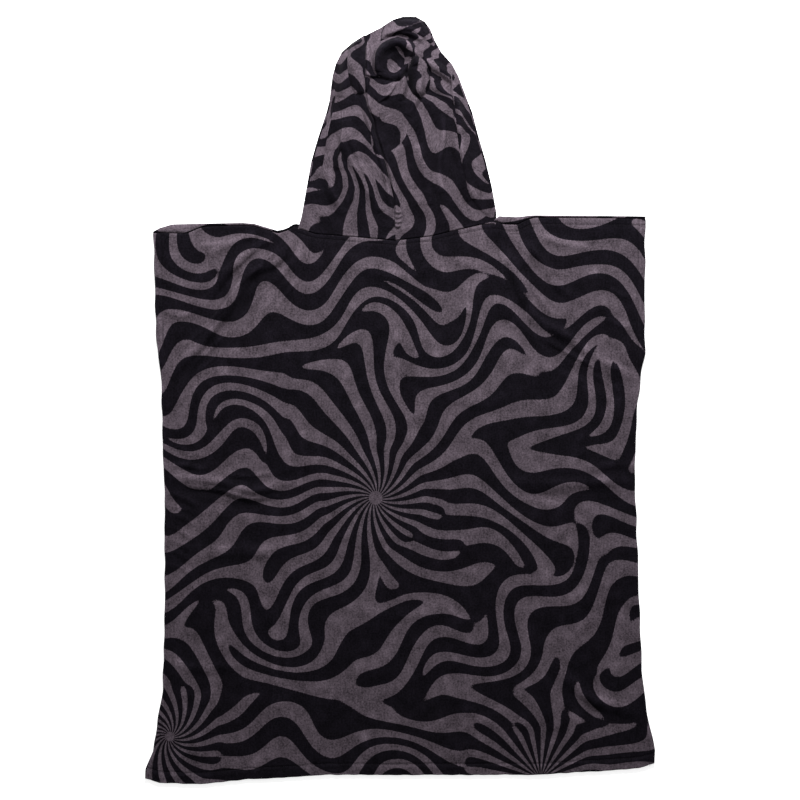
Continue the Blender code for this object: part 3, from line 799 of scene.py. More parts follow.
def catmull(t: Array) -> tuple[Array, Array, Array, Array]:
    """Catmull-Rom weights of the four cells round a place, t of the way past the second."""
    return (
        0.5 * (-t + 2 * t**2 - t**3),
        0.5 * (2 - 5 * t**2 + 3 * t**3),
        0.5 * (t + 4 * t**2 - 3 * t**3),
        0.5 * (-(t**2) + t**3),
    )


@dataclass(frozen=True)
class Cut:
    """Where on the printed cloth a piece is cut.

    Attributes:
        offset: of the piece's own (x, y) on the cloth.
        turn: degrees by which it is turned there.
        mirror: True on a piece whose x runs the other way over the cloth, as underneath.
        scale: size of the print's place per size of the piece.
        ripple: how far the small folds stir the print.
        ripple_waves: that the stir follows.
    """

    offset: Point = (0.0, 0.0)
    turn: float = 0.0
    mirror: bool = False
    scale: float = 1.0
    ripple: float = 0.0
    ripple_waves: Waves = Waves(61, (0.07, 0.13))

    def place(self, x: Array, y: Array) -> tuple[Array, Array]:
        """(u, v) on the cloth of a piece's points."""
        x = -x if self.mirror else x
        if self.ripple:
            shift_x, shift_y = self.ripple_waves.stir(x, y)
            x, y = x + self.ripple * shift_x, y + self.ripple * shift_y
        c, s = math.cos(math.radians(self.turn)), math.sin(math.radians(self.turn))
        u, v = c * x - s * y, s * x + c * y
        return self.scale * u + self.offset[0], self.scale * v + self.offset[1]


class Maths:
    """A socket with Python's operators, each of which adds a Math node."""

    def __init__(self, graph: "Graph", socket: Socket) -> None:
        """Wraps the socket of a graph."""
        self.graph, self.socket = graph, socket

    def math(self, operation: str, *others: "Maths | float", clamp: bool = False) -> "Maths":
        """This value and up to two others through one Math node."""
        inputs = {i + 1: other for i, other in enumerate(others)}
        settings = {"operation": operation, "use_clamp": clamp}
        node = self.graph.add("ShaderNodeMath", settings, {0: self, **inputs})
        return Maths(self.graph, node.outputs[0])

    def __add__(self, other: "Maths | float") -> "Maths":
        """self + other."""
        return self.math("ADD", other)

    def __sub__(self, other: "Maths | float") -> "Maths":
        """self - other."""
        return self.math("SUBTRACT", other)

    def __mul__(self, other: "Maths | float") -> "Maths":
        """self * other."""
        return self.math("MULTIPLY", other)

    def __rsub__(self, other: float) -> "Maths":
        """other - self."""
        return (self * -1.0) + other

    def ramp(self, low: float, high: float) -> "Maths":
        """0 below low and 1 above high, with a smooth change between."""
        settings = {"interpolation_type": "SMOOTHSTEP", "clamp": True}
        node = self.graph.add(
            "ShaderNodeMapRange", settings, {"Value": self, "From Min": low, "From Max": high}
        )
        return Maths(self.graph, node.outputs["Result"])

    def blend(self, other: "Maths | float", factor: "Maths") -> "Maths":
        """self where the factor is 0 and other where it is 1."""
        return self + (self.graph.as_maths(other) - self) * factor


class Graph:
    """Adds nodes to one material."""

    def __init__(self, name: str) -> None:
        """Makes the material, with its Principled BSDF at hand as shader."""
        self.material = bpy.data.materials.new(name)
        self.material.use_nodes = True
        self.nodes = self.material.node_tree.nodes
        self.links = self.material.node_tree.links
        self.shader = self.nodes["Principled BSDF"]

    def set(self, node: Node, inputs: Mapping[str | int, object]) -> None:
        """Puts links or plain values on a node's sockets."""
        for key, value in inputs.items():
            if isinstance(value, Maths):
                value = value.socket
            if isinstance(value, bpy.types.NodeSocket):
                self.links.new(value, node.inputs[key])
            else:
                node.inputs[key].default_value = value

    def add(
        self,
        kind: str,
        settings: Mapping[str, object] | None = None,
        inputs: Mapping[str | int, object] | None = None,
    ) -> Node:
        """One node.

        Args:
            kind: its type.
            settings: its own properties, set first.
            inputs: values or links of its sockets.

        Returns:
            The node.
        """
        node = self.nodes.new(kind)
        for name, value in (settings or {}).items():
            setattr(node, name, value)
        self.set(node, inputs or {})
        return node

    def as_maths(self, value: Maths | float) -> Maths:
        """A number as a Value node, so that it can stand on the left of an operator."""
        if isinstance(value, Maths):
            return value
        node = self.add("ShaderNodeValue")
        node.outputs[0].default_value = value
        return Maths(self, node.outputs[0])

    def noise(self, vector: Socket, scale: float, detail: float, rough: float) -> Maths:
        """A noise texture, 0 to 1, of that many features to a metre."""
        values = {"Vector": vector, "Scale": scale, "Detail": detail, "Roughness": rough}
        node = self.add("ShaderNodeTexNoise", {"noise_dimensions": "2D"}, values)
        return Maths(self, node.outputs[0])

    def mix(self, factor: Maths, a: object, b: object) -> Socket:
        """A colour between a and b."""
        node = self.add("ShaderNodeMix", {"data_type": "RGBA"})
        for socket, value in zip([node.inputs[0], *node.inputs[6:8]], (factor, a, b)):
            if isinstance(value, Maths):
                value = value.socket
            if isinstance(value, bpy.types.NodeSocket):
                self.links.new(value, socket)
            else:
                socket.default_value = value
        return node.outputs[2]


Colour = tuple[float, float, float, float]


@dataclass(frozen=True)
class Velour:
    """Printed velour towelling: a short cut pile with fine ribs, light bands on a dark ground.

    Attributes:
        dark: colour of the ground.
        light: colour of the bands.
        roughness: of the pile.
        sheen: strength of the pile's sheen.
        edge: softness of a band's edge, as a share of the print's own scale.
        wear_and_highlight_gain: how much paler the colour is painted on ridges and edges, as a painted
            highlight on the crease crests and as wear along the edges.
        core: radius out to which a sunburst's middle is drawn exactly.
        core_fade: how far inside that the exact rays start and stop fading.
        ray_level: value of a ray above which it is light.
        disc_edge: softness of the plain disc's edge.
        side: of the square of print that repeats.
        tuft, rib, brush, fleck: (features to a metre, detail, roughness) of four noises.
        rib_stretch: of the ribs along the cloth.
        ragged: how far the pile moves a band's edge, on the print's own scale.
        tuft_shade, rib_shade, brush_shade: how much each noise lightens and darkens.
        least_shade: that the three together leave.
        rib_relief, brush_relief: share of the ribs and brushed patches in the pile's relief.
        bump, bump_depth: strength and depth of the pile's relief.
    """

    dark: Colour = (0.0036, 0.0029, 0.0045, 1.0)
    light: Colour = (0.0520, 0.0410, 0.0505, 1.0)
    roughness: float = 0.92
    sheen: float = 0.012
    edge: float = 0.05
    wear_and_highlight_gain: float = 0.55
    core: float = BURST_CORE
    core_fade: tuple[float, float] = (0.030, 0.006)
    ray_level: float = 0.12
    disc_edge: float = 0.0006
    side: float = PRINT_SIDE
    tuft: tuple[float, float, float] = (330.0, 4.0, 0.72)
    rib: tuple[float, float, float] = (300.0, 2.0, 0.55)
    brush: tuple[float, float, float] = (40.0, 3.0, 0.6)
    fleck: tuple[float, float, float] = (420.0, 1.0, 0.5)
    rib_stretch: float = 0.20
    ragged: float = 0.16
    tuft_shade: float = 2.5
    rib_shade: float = 0.6
    brush_shade: float = 1.2
    least_shade: float = 0.2
    rib_relief: float = 0.4
    brush_relief: float = 0.5
    bump: float = 0.42
    bump_depth: float = 0.0016

    def bursts(self, graph: Graph, u: Maths, v: Maths, band: Maths) -> Maths:
        """The band value with each sunburst's middle drawn exactly, out to its core radius."""
        for bx, by, count, twist, disc in BURSTS:
            du = (u - bx).math("WRAP", self.side / 2, -self.side / 2)
            dv = (v - by).math("WRAP", self.side / 2, -self.side / 2)
            away = (du * du + dv * dv).math("SQRT")
            angle = dv.math("ARCTAN2", du)
            spiral = (away * (1 / SPIRAL_SCALE) + SPIRAL_START).math("LOGARITHM", math.e)
            rays = ((angle - spiral * twist) * float(count)).math("COSINE")
            firm = 1.0 - away.ramp(*(self.core - inward for inward in self.core_fade))
            band = band.blend(rays - self.ray_level, firm)
            disc_mask = 1.0 - away.ramp(disc - self.disc_edge, disc + self.disc_edge)
            band = band.blend(1.0, disc_mask)
        return band

    def build(self, name: str) -> bpy.types.Material:
        """The material.

        The light bands are where the band value is above 0, ragged by the pile. Both colours
        are mottled by tufts, by ribs along the cloth and by brushed patches. Both are painted
        paler on ridges and edges: a painted highlight on the crease crests, and wear along the
        edges.
        """
        graph = Graph(name)
        place = graph.add("ShaderNodeUVMap", {"uv_map": CLOTH_MAP}).outputs[0]
        split = graph.add("ShaderNodeSeparateXYZ", None, {0: place})
        u, v = Maths(graph, split.outputs[0]), Maths(graph, split.outputs[1])
        stored = graph.add("ShaderNodeAttribute", {"attribute_name": BAND})
        band = self.bursts(graph, u, v, Maths(graph, stored.outputs["Fac"]))
        scale = {0: place, "Scale": (1.0, self.rib_stretch, 1.0)}
        stretched = graph.add("ShaderNodeMapping", None, scale)
        tufts = graph.noise(place, *self.tuft)
        ribs = graph.noise(stretched.outputs[0], *self.rib)
        brushed = graph.noise(place, *self.brush)
        flecks = graph.noise(place, *self.fleck)
        mask = (band + (flecks - 0.5) * self.ragged).ramp(-self.edge, self.edge)
        shade = (tufts - 0.5) * self.tuft_shade + (ribs - 0.5) * self.rib_shade
        shade = shade + (brushed - 0.5) * self.brush_shade + 1.0
        # painted highlight: the colour is made paler on crease crests, where light would catch them,
        # and on the edges as wear
        wear_and_highlight_node = graph.add("ShaderNodeAttribute", {"attribute_name": WEAR_AND_HIGHLIGHT})
        wear_and_highlight = Maths(graph, wear_and_highlight_node.outputs["Fac"])
        shade = shade.math("MAXIMUM", self.least_shade) * (wear_and_highlight * brushed * self.wear_and_highlight_gain + 1.0)
        colour = graph.mix(mask, self.dark, self.light)
        scaled = graph.add("ShaderNodeVectorMath", {"operation": "SCALE"}, {0: colour, 3: shade})
        pile = tufts * 1.0 + ribs * self.rib_relief + brushed * self.brush_relief
        relief = {"Strength": self.bump, "Distance": self.bump_depth, "Height": pile}
        bump = graph.add("ShaderNodeBump", None, relief)
        graph.set(
            graph.shader,
            {
                "Base Color": scaled.outputs[0],
                "Roughness": self.roughness,
                "Normal": bump.outputs[0],
                "Specular IOR Level": 0.03,
                "Sheen Weight": self.sheen,
                "Sheen Roughness": 0.45,
                "Sheen Tint": (0.86, 0.80, 0.88, 1.0),
            },
        )
        return graph.material


@dataclass(frozen=True)
class Thread:
    """Sewing thread: dark twisted polyester.

    Attributes:
        colour: of the thread.
        pale: colour of the stripes of its twist.
        roughness: of the thread.
    """

    colour: Colour = (0.0060, 0.0050, 0.0070, 1.0)
    pale: Colour = (0.0140, 0.0115, 0.0150, 1.0)
    roughness: float = 0.85

    def build(self, name: str) -> bpy.types.Material:
        """The material, with the twist as fine slanting stripes."""
        graph = Graph(name)
        place = graph.add("ShaderNodeTexCoord").outputs["Object"]
        waves = graph.add(
            "ShaderNodeTexWave",
            {"wave_type": "BANDS", "bands_direction": "DIAGONAL"},
            {"Vector": place, "Scale": 700.0, "Distortion": 0.4},
        )
        twist = Maths(graph, waves.outputs[1])
        bump = graph.add(
            "ShaderNodeBump", None, {"Strength": 0.5, "Distance": 0.0003, "Height": twist}
        )
        colour = graph.mix(twist, self.colour, self.pale)
        values = {"Base Color": colour, "Roughness": self.roughness, "Normal": bump.outputs[0]}
        values |= {"Specular IOR Level": 0.1}
        graph.set(graph.shader, values)
        return graph.material


def quads(first: int, rows: int, columns: int, turned: bool) -> NDArray[np.int64]:
    """Corners of a grid's quads.

    Args:
        first: number of its first point.
        rows: points along one side.
        columns: points along the other.
        turned: True for faces that look down.

    Returns:
        Four corner numbers a row.
    """
    number = first + np.arange(rows * columns).reshape(rows, columns)
    corners = (number[:-1, :-1], number[:-1, 1:], number[1:, 1:], number[1:, :-1])
    made = np.stack(corners, axis=-1).reshape(-1, 4)
    return made[:, ::-1] if turned else made


def border(first: int, rows: int, columns: int) -> NDArray[np.int64]:
    """Numbers of a grid's border points, once round."""
    number = first + np.arange(rows * columns).reshape(rows, columns)
    sides = (number[0, :-1], number[:-1, -1], number[-1, :0:-1], number[:0:-1, 0])
    return np.concatenate(sides)


def put_mesh(
    name: str,
    points: Array,
    four: NDArray[np.int64],
    three: NDArray[np.int64],
    material: bpy.types.Material,
) -> bpy.types.Object:
    """An object of the given points and faces, smooth all over.

    Args:
        name: of the object.
        points: one a row.
        four: corners of the quads.
        three: corners of the triangles.
        material: of all faces.

    Returns:
        The object, in the scene.
    """
    mesh = bpy.data.meshes.new(name)
    mesh.vertices.add(len(points))
    mesh.vertices.foreach_set("co", points.astype(np.float32).ravel())
    corners = np.concatenate([four.ravel(), three.ravel()]).astype(np.int32)
    mesh.loops.add(len(corners))
    mesh.loops.foreach_set("vertex_index", corners)
    starts = np.concatenate([np.arange(len(four)) * 4, four.size + np.arange(len(three)) * 3])
    mesh.polygons.add(len(starts))
    mesh.polygons.foreach_set("loop_start", starts.astype(np.int32))
    mesh.update(calc_edges=True)
    mesh.validate()
    mesh.shade_smooth()
    mesh.materials.append(material)
    made = bpy.data.objects.new(name, mesh)
    bpy.context.scene.collection.objects.link(made)
    return made


def ridges(z: Array, reach: int = 4, full: float = 0.0006) -> Array:
    """How far each point of a skin stands on a ridge or beside an edge.

    Args:
        z: heights of the skin's grid.
        reach: cells on each side over which the mean height is taken.
        full: height above that mean at which the answer is 1.

    Returns:
        0 to 1: the height less its mean over a square of cells, taken by running sums.
    """
    sums = np.pad(z, reach, mode="edge").cumsum(axis=0).cumsum(axis=1)
    sums = np.pad(sums, ((1, 0), (1, 0)))
    wide = 2 * reach + 1
    square = sums[wide:, wide:] - sums[:-wide, wide:] - sums[wide:, :-wide] + sums[:-wide, :-wide]
    return np.clip((z - square / wide**2) / full, 0, 1)


def cloth_wall(
    name: str,
    outer: Array,
    inner: Array,
    places: tuple[Array, Array],
    printed: SwirlPrint,
    material: bpy.types.Material,
) -> bpy.types.Object:
    """A closed wall of printed cloth between two skins.

    Args:
        name: of the object.
        outer: the outer skin, rows by columns by 3.
        inner: the inner skin on the same grid, of which every second row and column is used.
        places: (u, v) of each outer point on the printed cloth.
        printed: the print.
        material: of the cloth.

    Returns:
        The object, with its cloth map and band values.
    """
    thin = inner[::SKIP, ::SKIP]
    (rows, columns, _), (few, fewer, _) = outer.shape, thin.shape
    count = rows * columns
    rim, back = border(0, rows, columns), border(count, few, fewer)
    rim, back = np.append(rim, rim[0]), np.append(back, back[0])
    first, middle, last = rim[:-1:SKIP], rim[1::SKIP], rim[SKIP::SKIP]
    near, far = back[:-1], back[1:]
    edges = ((middle, first, near), (far, middle, near), (last, middle, far))
    rings = [np.stack(corners, axis=1) for corners in edges]
    faces = np.concatenate([quads(0, rows, columns, False), quads(count, few, fewer, True)])
    points = np.concatenate([outer.reshape(-1, 3), thin.reshape(-1, 3)])
    made = put_mesh(name, points, faces, np.concatenate(rings), material)
    u, v = (np.concatenate([p.ravel(), p[::SKIP, ::SKIP].ravel()]) for p in places)
    mesh = made.data
    corner = np.empty(len(mesh.loops), np.int32)
    mesh.loops.foreach_get("vertex_index", corner)
    layer = mesh.uv_layers.new(name=CLOTH_MAP)
    layer.data.foreach_set("uv", np.stack([u, v], axis=1)[corner].astype(np.float32).ravel())
    stored = mesh.attributes.new(BAND, "FLOAT", "POINT")
    stored.data.foreach_set("value", printed.sample(u, v).astype(np.float32))
    # ridges and edges, which the material paints paler: a painted highlight on crease crests, and wear
    # along the edges
    wear_and_highlight = ridges(outer[..., 2])
    stored = mesh.attributes.new(WEAR_AND_HIGHLIGHT, "FLOAT", "POINT")
    stored.data.foreach_set(
        "value", np.concatenate([wear_and_highlight.ravel(), 0 * wear_and_highlight[::SKIP, ::SKIP].ravel()]).astype(np.float32)
    )
    return made


def rounded(away: Array, radius: float) -> Array:
    """How far a rounded edge lies below its top: a quarter circle over the radius."""
    t = np.clip(1 - away / radius, 0, 1)
    return radius * (1 - np.sqrt(1 - t**2))


def furrow(away: Array, depth: float, width: float) -> Array:
    """Depth of a stitched furrow at a distance from its line: a bell curve."""
    return depth * np.exp(-((away / width) ** 2))


@dataclass(frozen=True)
class Panels:
    """The body: a front and a back panel of one outline, laid on each other.

    Attributes:
        printed: the print.
        cloth: material of both panels.
        hem: depth of the bottom hem's stitching.
        arm_hem: depth of the stitching round an arm opening.
        vent_hem: depth of the stitching beside a side vent.
        vent_top: y where the side vents end.
        arm_end: y where the arm openings end.
        neck_stitch: distance of the topstitching from the neck seam.
        shoulder_stitch: distance of the topstitching from the right shoulder seam.
        arm_furrow, vent_furrow, hem_furrow, seam_furrow: (depth, width) of stitched furrows.
        stitch_ease: distance over which a furrow starts and ends.
        turned_rise: extra thickness of a turned hem.
        turned_ease: width of the slope beside it.
        loft: how far the back stands off the front.
        loft_reach: distance from an edge at which it does so fully.
        crease_depth: of all creases, on the heights in their table.
        waviness, waves: size and waves of the cloth's broad unevenness.
        ruffling, ruffles: size and waves of its fine unevenness.
        pucker, puckers: size and waves of a turned hem's puckers.
        wobble: of the outline.
        wobble_lengths: its shortest and longest wavelength, as shares of a side.
        step: usual spacing of the back panel's grid.
        front_step: usual spacing of the front panel's.
        edge_step: spacing beside an edge.
        edge_fold: the share of a crease's height that reaches a sewn edge.
        lip_end: distance beside the neck over which the rolled shoulder edge ends.
        neck_row: spacing of the roll's rows in the neck, where there is no roll.
        round_edge: radius of the back panel's edge.
        roll_shares: places of the roll's rows, as shares of the lip's depth.
        roll_foot, roll_rise: height of the roll's ends and of its middle above them, in rims.
        roll_uneven, roll_waves: unevenness of the roll's height, as a share, and its waves.
        roll_slope: how steeply the roll grows out of the flat panel.
        roll_under: height of the underside at the roll's far edge, in rims.
    """

    printed: SwirlPrint
    cloth: bpy.types.Material
    hem: float = 0.018
    arm_hem: float = 0.011
    vent_hem: float = 0.008
    vent_top: float = -0.520
    arm_end: float = 0.060
    neck_stitch: float = 0.008
    shoulder_stitch: float = 0.011
    arm_furrow: tuple[float, float] = (0.0011, 0.0016)
    vent_furrow: tuple[float, float] = (0.0010, 0.0016)
    hem_furrow: tuple[float, float] = (0.0012, 0.0017)
    seam_furrow: tuple[float, float] = (0.0009, 0.0017)
    stitch_ease: float = 0.01
    turned_rise: float = 0.0008
    turned_ease: float = 0.002
    loft: float = 0.0014
    loft_reach: float = 0.05
    crease_depth: float = 1.45
    waviness: float = 0.00090
    waves: Waves = Waves(31, (0.06, 0.17), 11)
    ruffling: float = 0.00030
    ruffles: Waves = Waves(32, (0.022, 0.050), 15)
    pucker: float = 0.00022
    puckers: Waves = Waves(33, (0.010, 0.022), 9)
    wobble: float = 0.0005
    wobble_lengths: tuple[float, float] = (0.025, 0.120)
    step: float = 0.0033
    front_step: float = 0.0046
    edge_step: float = 0.0012
    edge_fold: float = 0.35
    lip_end: float = 0.007
    neck_row: float = 0.0004
    round_edge: float = 0.0020
    roll_shares: Sequence[float] = (0.04, 0.12, 0.24, 0.38, 0.52, 0.66, 0.79, 0.89, 0.96, 1.0)
    roll_foot: float = 0.42
    roll_rise: float = 0.58
    roll_uneven: float = 0.05
    roll_waves: Waves = Waves(41, (0.03, 0.09))
    roll_slope: float = 6.0
    roll_under: float = 0.3

    def shares(self, step: float) -> tuple[Array, Array]:
        """(shares across, shares up) of the grid, closer together along the four edges.

        Each row of marks is (place, spacing): finest at the edge itself, fine out past the
        hem's furrow, and from there the usual step.
        """
        width = SHOULDER[-1][0] - SHOULDER[0][0]
        height = SHOULDER[0][1] - HEM[0][1]
        rim = self.edge_step
        across = [(0.0, 0.4 * rim), (0.003, rim), (0.014, rim), (0.022, step)]
        across += [(width - 0.022, step), (width - 0.014, rim), (width - 0.003, rim)]
        across += [(width, 0.4 * rim)]
        up = [(0.0, 0.4 * rim), (0.003, rim), (0.021, rim), (0.030, step)]
        up += [(height - 0.020, step), (height - 0.013, rim), (height - 0.003, rim)]
        up += [(height, 0.4 * rim)]
        return spaced(across, SKIP) / width, spaced(up, SKIP) / height

    def in_neck(self, x: Array) -> Array:
        """Whether a place along the top edge is in the neckline."""
        return (x > NECK_BACK[0][0]) & (x < NECK_BACK[-1][0])

    def shoulder_seam(self, x: Array) -> Array:
        """y of the shoulder seam, a lip's depth inside the outline."""
        return read(SHOULDER, x) - read(SHOULDER_LIP, x)

    def back_top(self, x: Array) -> Array:
        """y of the back panel's top edge: the neck seam, and outside it the shoulder seam."""
        return np.where(self.in_neck(x), read(NECK_BACK, x), self.shoulder_seam(x))

    def front_top(self, x: Array, rolls: int) -> Array:
        """y that the front panel lies flat to, below its roll's rows."""
        low = read(NECK_FRONT, x) - SEAM_GAP - self.neck_row * rolls
        tuck_in = np.minimum(x - NECK_BACK[0][0], NECK_BACK[-1][0] - x)
        return np.where(tuck_in > self.lip_end, low, self.shoulder_seam(x) + SEAM_GAP)

    def spread(
        self, across: Array, up: Array, top: Callable[[Array], Array]
    ) -> tuple[Array, Array, dict[str, Array]]:
        """Points of a panel, between its two sides, its hem and a top edge.

        Args:
            across: shares of the width.
            up: shares of the height.
            top: y of the top edge at x.

        Returns:
            (x, y, distances from the side, the foot and the head, by those names).
        """
        s, t = np.meshgrid(across, up)
        left = read(LEFT_SIDE, LEFT_SIDE[0][0] + (LEFT_SIDE[-1][0] - LEFT_SIDE[0][0]) * t)
        right = read(RIGHT_SIDE, RIGHT_SIDE[0][0] + (RIGHT_SIDE[-1][0] - RIGHT_SIDE[0][0]) * t)
        left = left + self.wobble * Waves(71, self.wobble_lengths, 9).at(t, 0.0 * t)
        right = right + self.wobble * Waves(72, self.wobble_lengths, 9).at(t, 0.0 * t)
        foot = read(HEM, HEM[0][0] + (HEM[-1][0] - HEM[0][0]) * s)
        foot = foot + 0.6 * self.wobble * Waves(73, self.wobble_lengths, 9).at(s, 0.0 * s)
        head = top(SHOULDER[0][0] + (SHOULDER[-1][0] - SHOULDER[0][0]) * s)
        x, y = left + (right - left) * s, foot + (head - foot) * t
        away = {"side": np.minimum(x - left, right - x), "foot": y - foot, "head": head - y}
        return x, y, away

    def furrows(self, x: Array, y: Array, away: Mapping[str, Array]) -> Array:
        """Depth of the furrows that the topstitching draws into the back panel."""
        arm = eased((y - self.arm_end) / self.stitch_ease)
        arm = arm * furrow(away["side"] - self.arm_hem, *self.arm_furrow)
        vent = furrow(away["side"] - self.vent_hem, *self.vent_furrow)
        vent = vent * eased((self.vent_top - y) / self.stitch_ease)
        hem = furrow(away["foot"] - self.hem, *self.hem_furrow)
        neck = self.in_neck(x) * furrow(away["head"] - self.neck_stitch, *self.seam_furrow)
        seam = furrow(away["head"] - self.shoulder_stitch, *self.seam_furrow)
        seam = (x > NECK_BACK[-1][0]) * seam
        return arm + vent + hem + neck + seam

    def back_height(self, x: Array, y: Array, away: Mapping[str, Array]) -> tuple[Array, Array]:
        """(height of the back panel's underside, its thickness with hems and furrows).

        The underside lies on the front panel at the edges and stands off it inside, where
        the creases and the cloth's own unevenness lift it.
        """
        nearest = np.minimum(np.minimum(away["side"], away["foot"]), away["head"])
        free = eased(nearest / self.loft_reach)
        held = self.edge_fold + (1 - self.edge_fold) * free
        under = CLOTH + LAYER_GAP + self.loft * free
        rise = self.crease_depth * sum(crease.height_at(x, y) for crease in PANEL_CREASES)
        rise = rise + self.waviness * self.waves.at(x, y)
        rise = rise + self.ruffling * self.ruffles.at(x, y)
        under = under + rise * held
        under = np.maximum(under, CLOTH + 0.5 * LAYER_GAP)
        turned = eased((self.hem - away["foot"]) / self.turned_ease + 0.5)
        open_side = (y > self.arm_end) | (y < self.vent_top)
        side = eased((self.arm_hem - away["side"]) / self.turned_ease + 0.5)
        turned = np.maximum(turned, open_side * side)
        thick = CLOTH + self.turned_rise * turned - self.furrows(x, y, away)
        pucker = turned * self.pucker * self.puckers.at(x, y)
        return under, thick + pucker - rounded(nearest, self.round_edge)

    def make_back(self) -> bpy.types.Object:
        """The back panel, which lies on top."""
        x, y, away = self.spread(*self.shares(self.step), self.back_top)
        under, thick = self.back_height(x, y, away)
        outer, inner = np.dstack([x, y, under + thick]), np.dstack([x, y, under])
        return cloth_wall("back_cloth", outer, inner, (x, y), self.printed, self.cloth)

    def make_front(self) -> bpy.types.Object:
        """The front panel, flat on the surface, with its shoulder edge rolled up.

        Past the seam, rows at shares q of the lip's depth rise as half an ellipse:
        height = rim x (foot + rise sqrt(1 - (2q - 1)^2)).
        """
        across, up = self.shares(self.front_step)
        rolls = np.array(self.roll_shares)[:, None]
        x, y, _ = self.spread(across, up, lambda at: self.front_top(at, len(rolls)))
        edge_x, edge_y = x[-1], y[-1]
        tuck_in = np.minimum(edge_x - NECK_BACK[0][0], NECK_BACK[-1][0] - edge_x)
        neck = tuck_in > self.lip_end
        fade = 1 - eased((tuck_in + self.lip_end) / (2 * self.lip_end))
        depth = (read(SHOULDER_LIP, edge_x) - SEAM_GAP) * fade
        neck_rows = self.neck_row * np.arange(1, len(rolls) + 1)[:, None]
        place = np.where(neck, neck_rows, depth * rolls)
        round_top = HOOD_RIM * (self.roll_foot + self.roll_rise * np.sqrt(1 - (2 * rolls - 1) ** 2))
        round_top = round_top * (1 + self.roll_uneven * self.roll_waves.at(edge_x, edge_y))
        high = np.where(neck, CLOTH, np.minimum(round_top, CLOTH + self.roll_slope * depth))
        low = np.where(neck, 0.0, self.roll_under * HOOD_RIM * eased((rolls - 0.8) / 0.2))
        x = np.vstack([x, np.broadcast_to(edge_x, high.shape)])
        flat = np.full(y.shape, CLOTH)
        y = np.vstack([y, edge_y + place])
        outer = np.dstack([x, y, np.vstack([flat, high])])
        inner = np.dstack([x, y, np.vstack([0 * flat, low])])
        cut = Cut(offset=(0.31, 0.27), mirror=True)
        places = cut.place(outer[..., 0], outer[..., 1])
        return cloth_wall("front_cloth", outer, inner, places, self.printed, self.cloth)


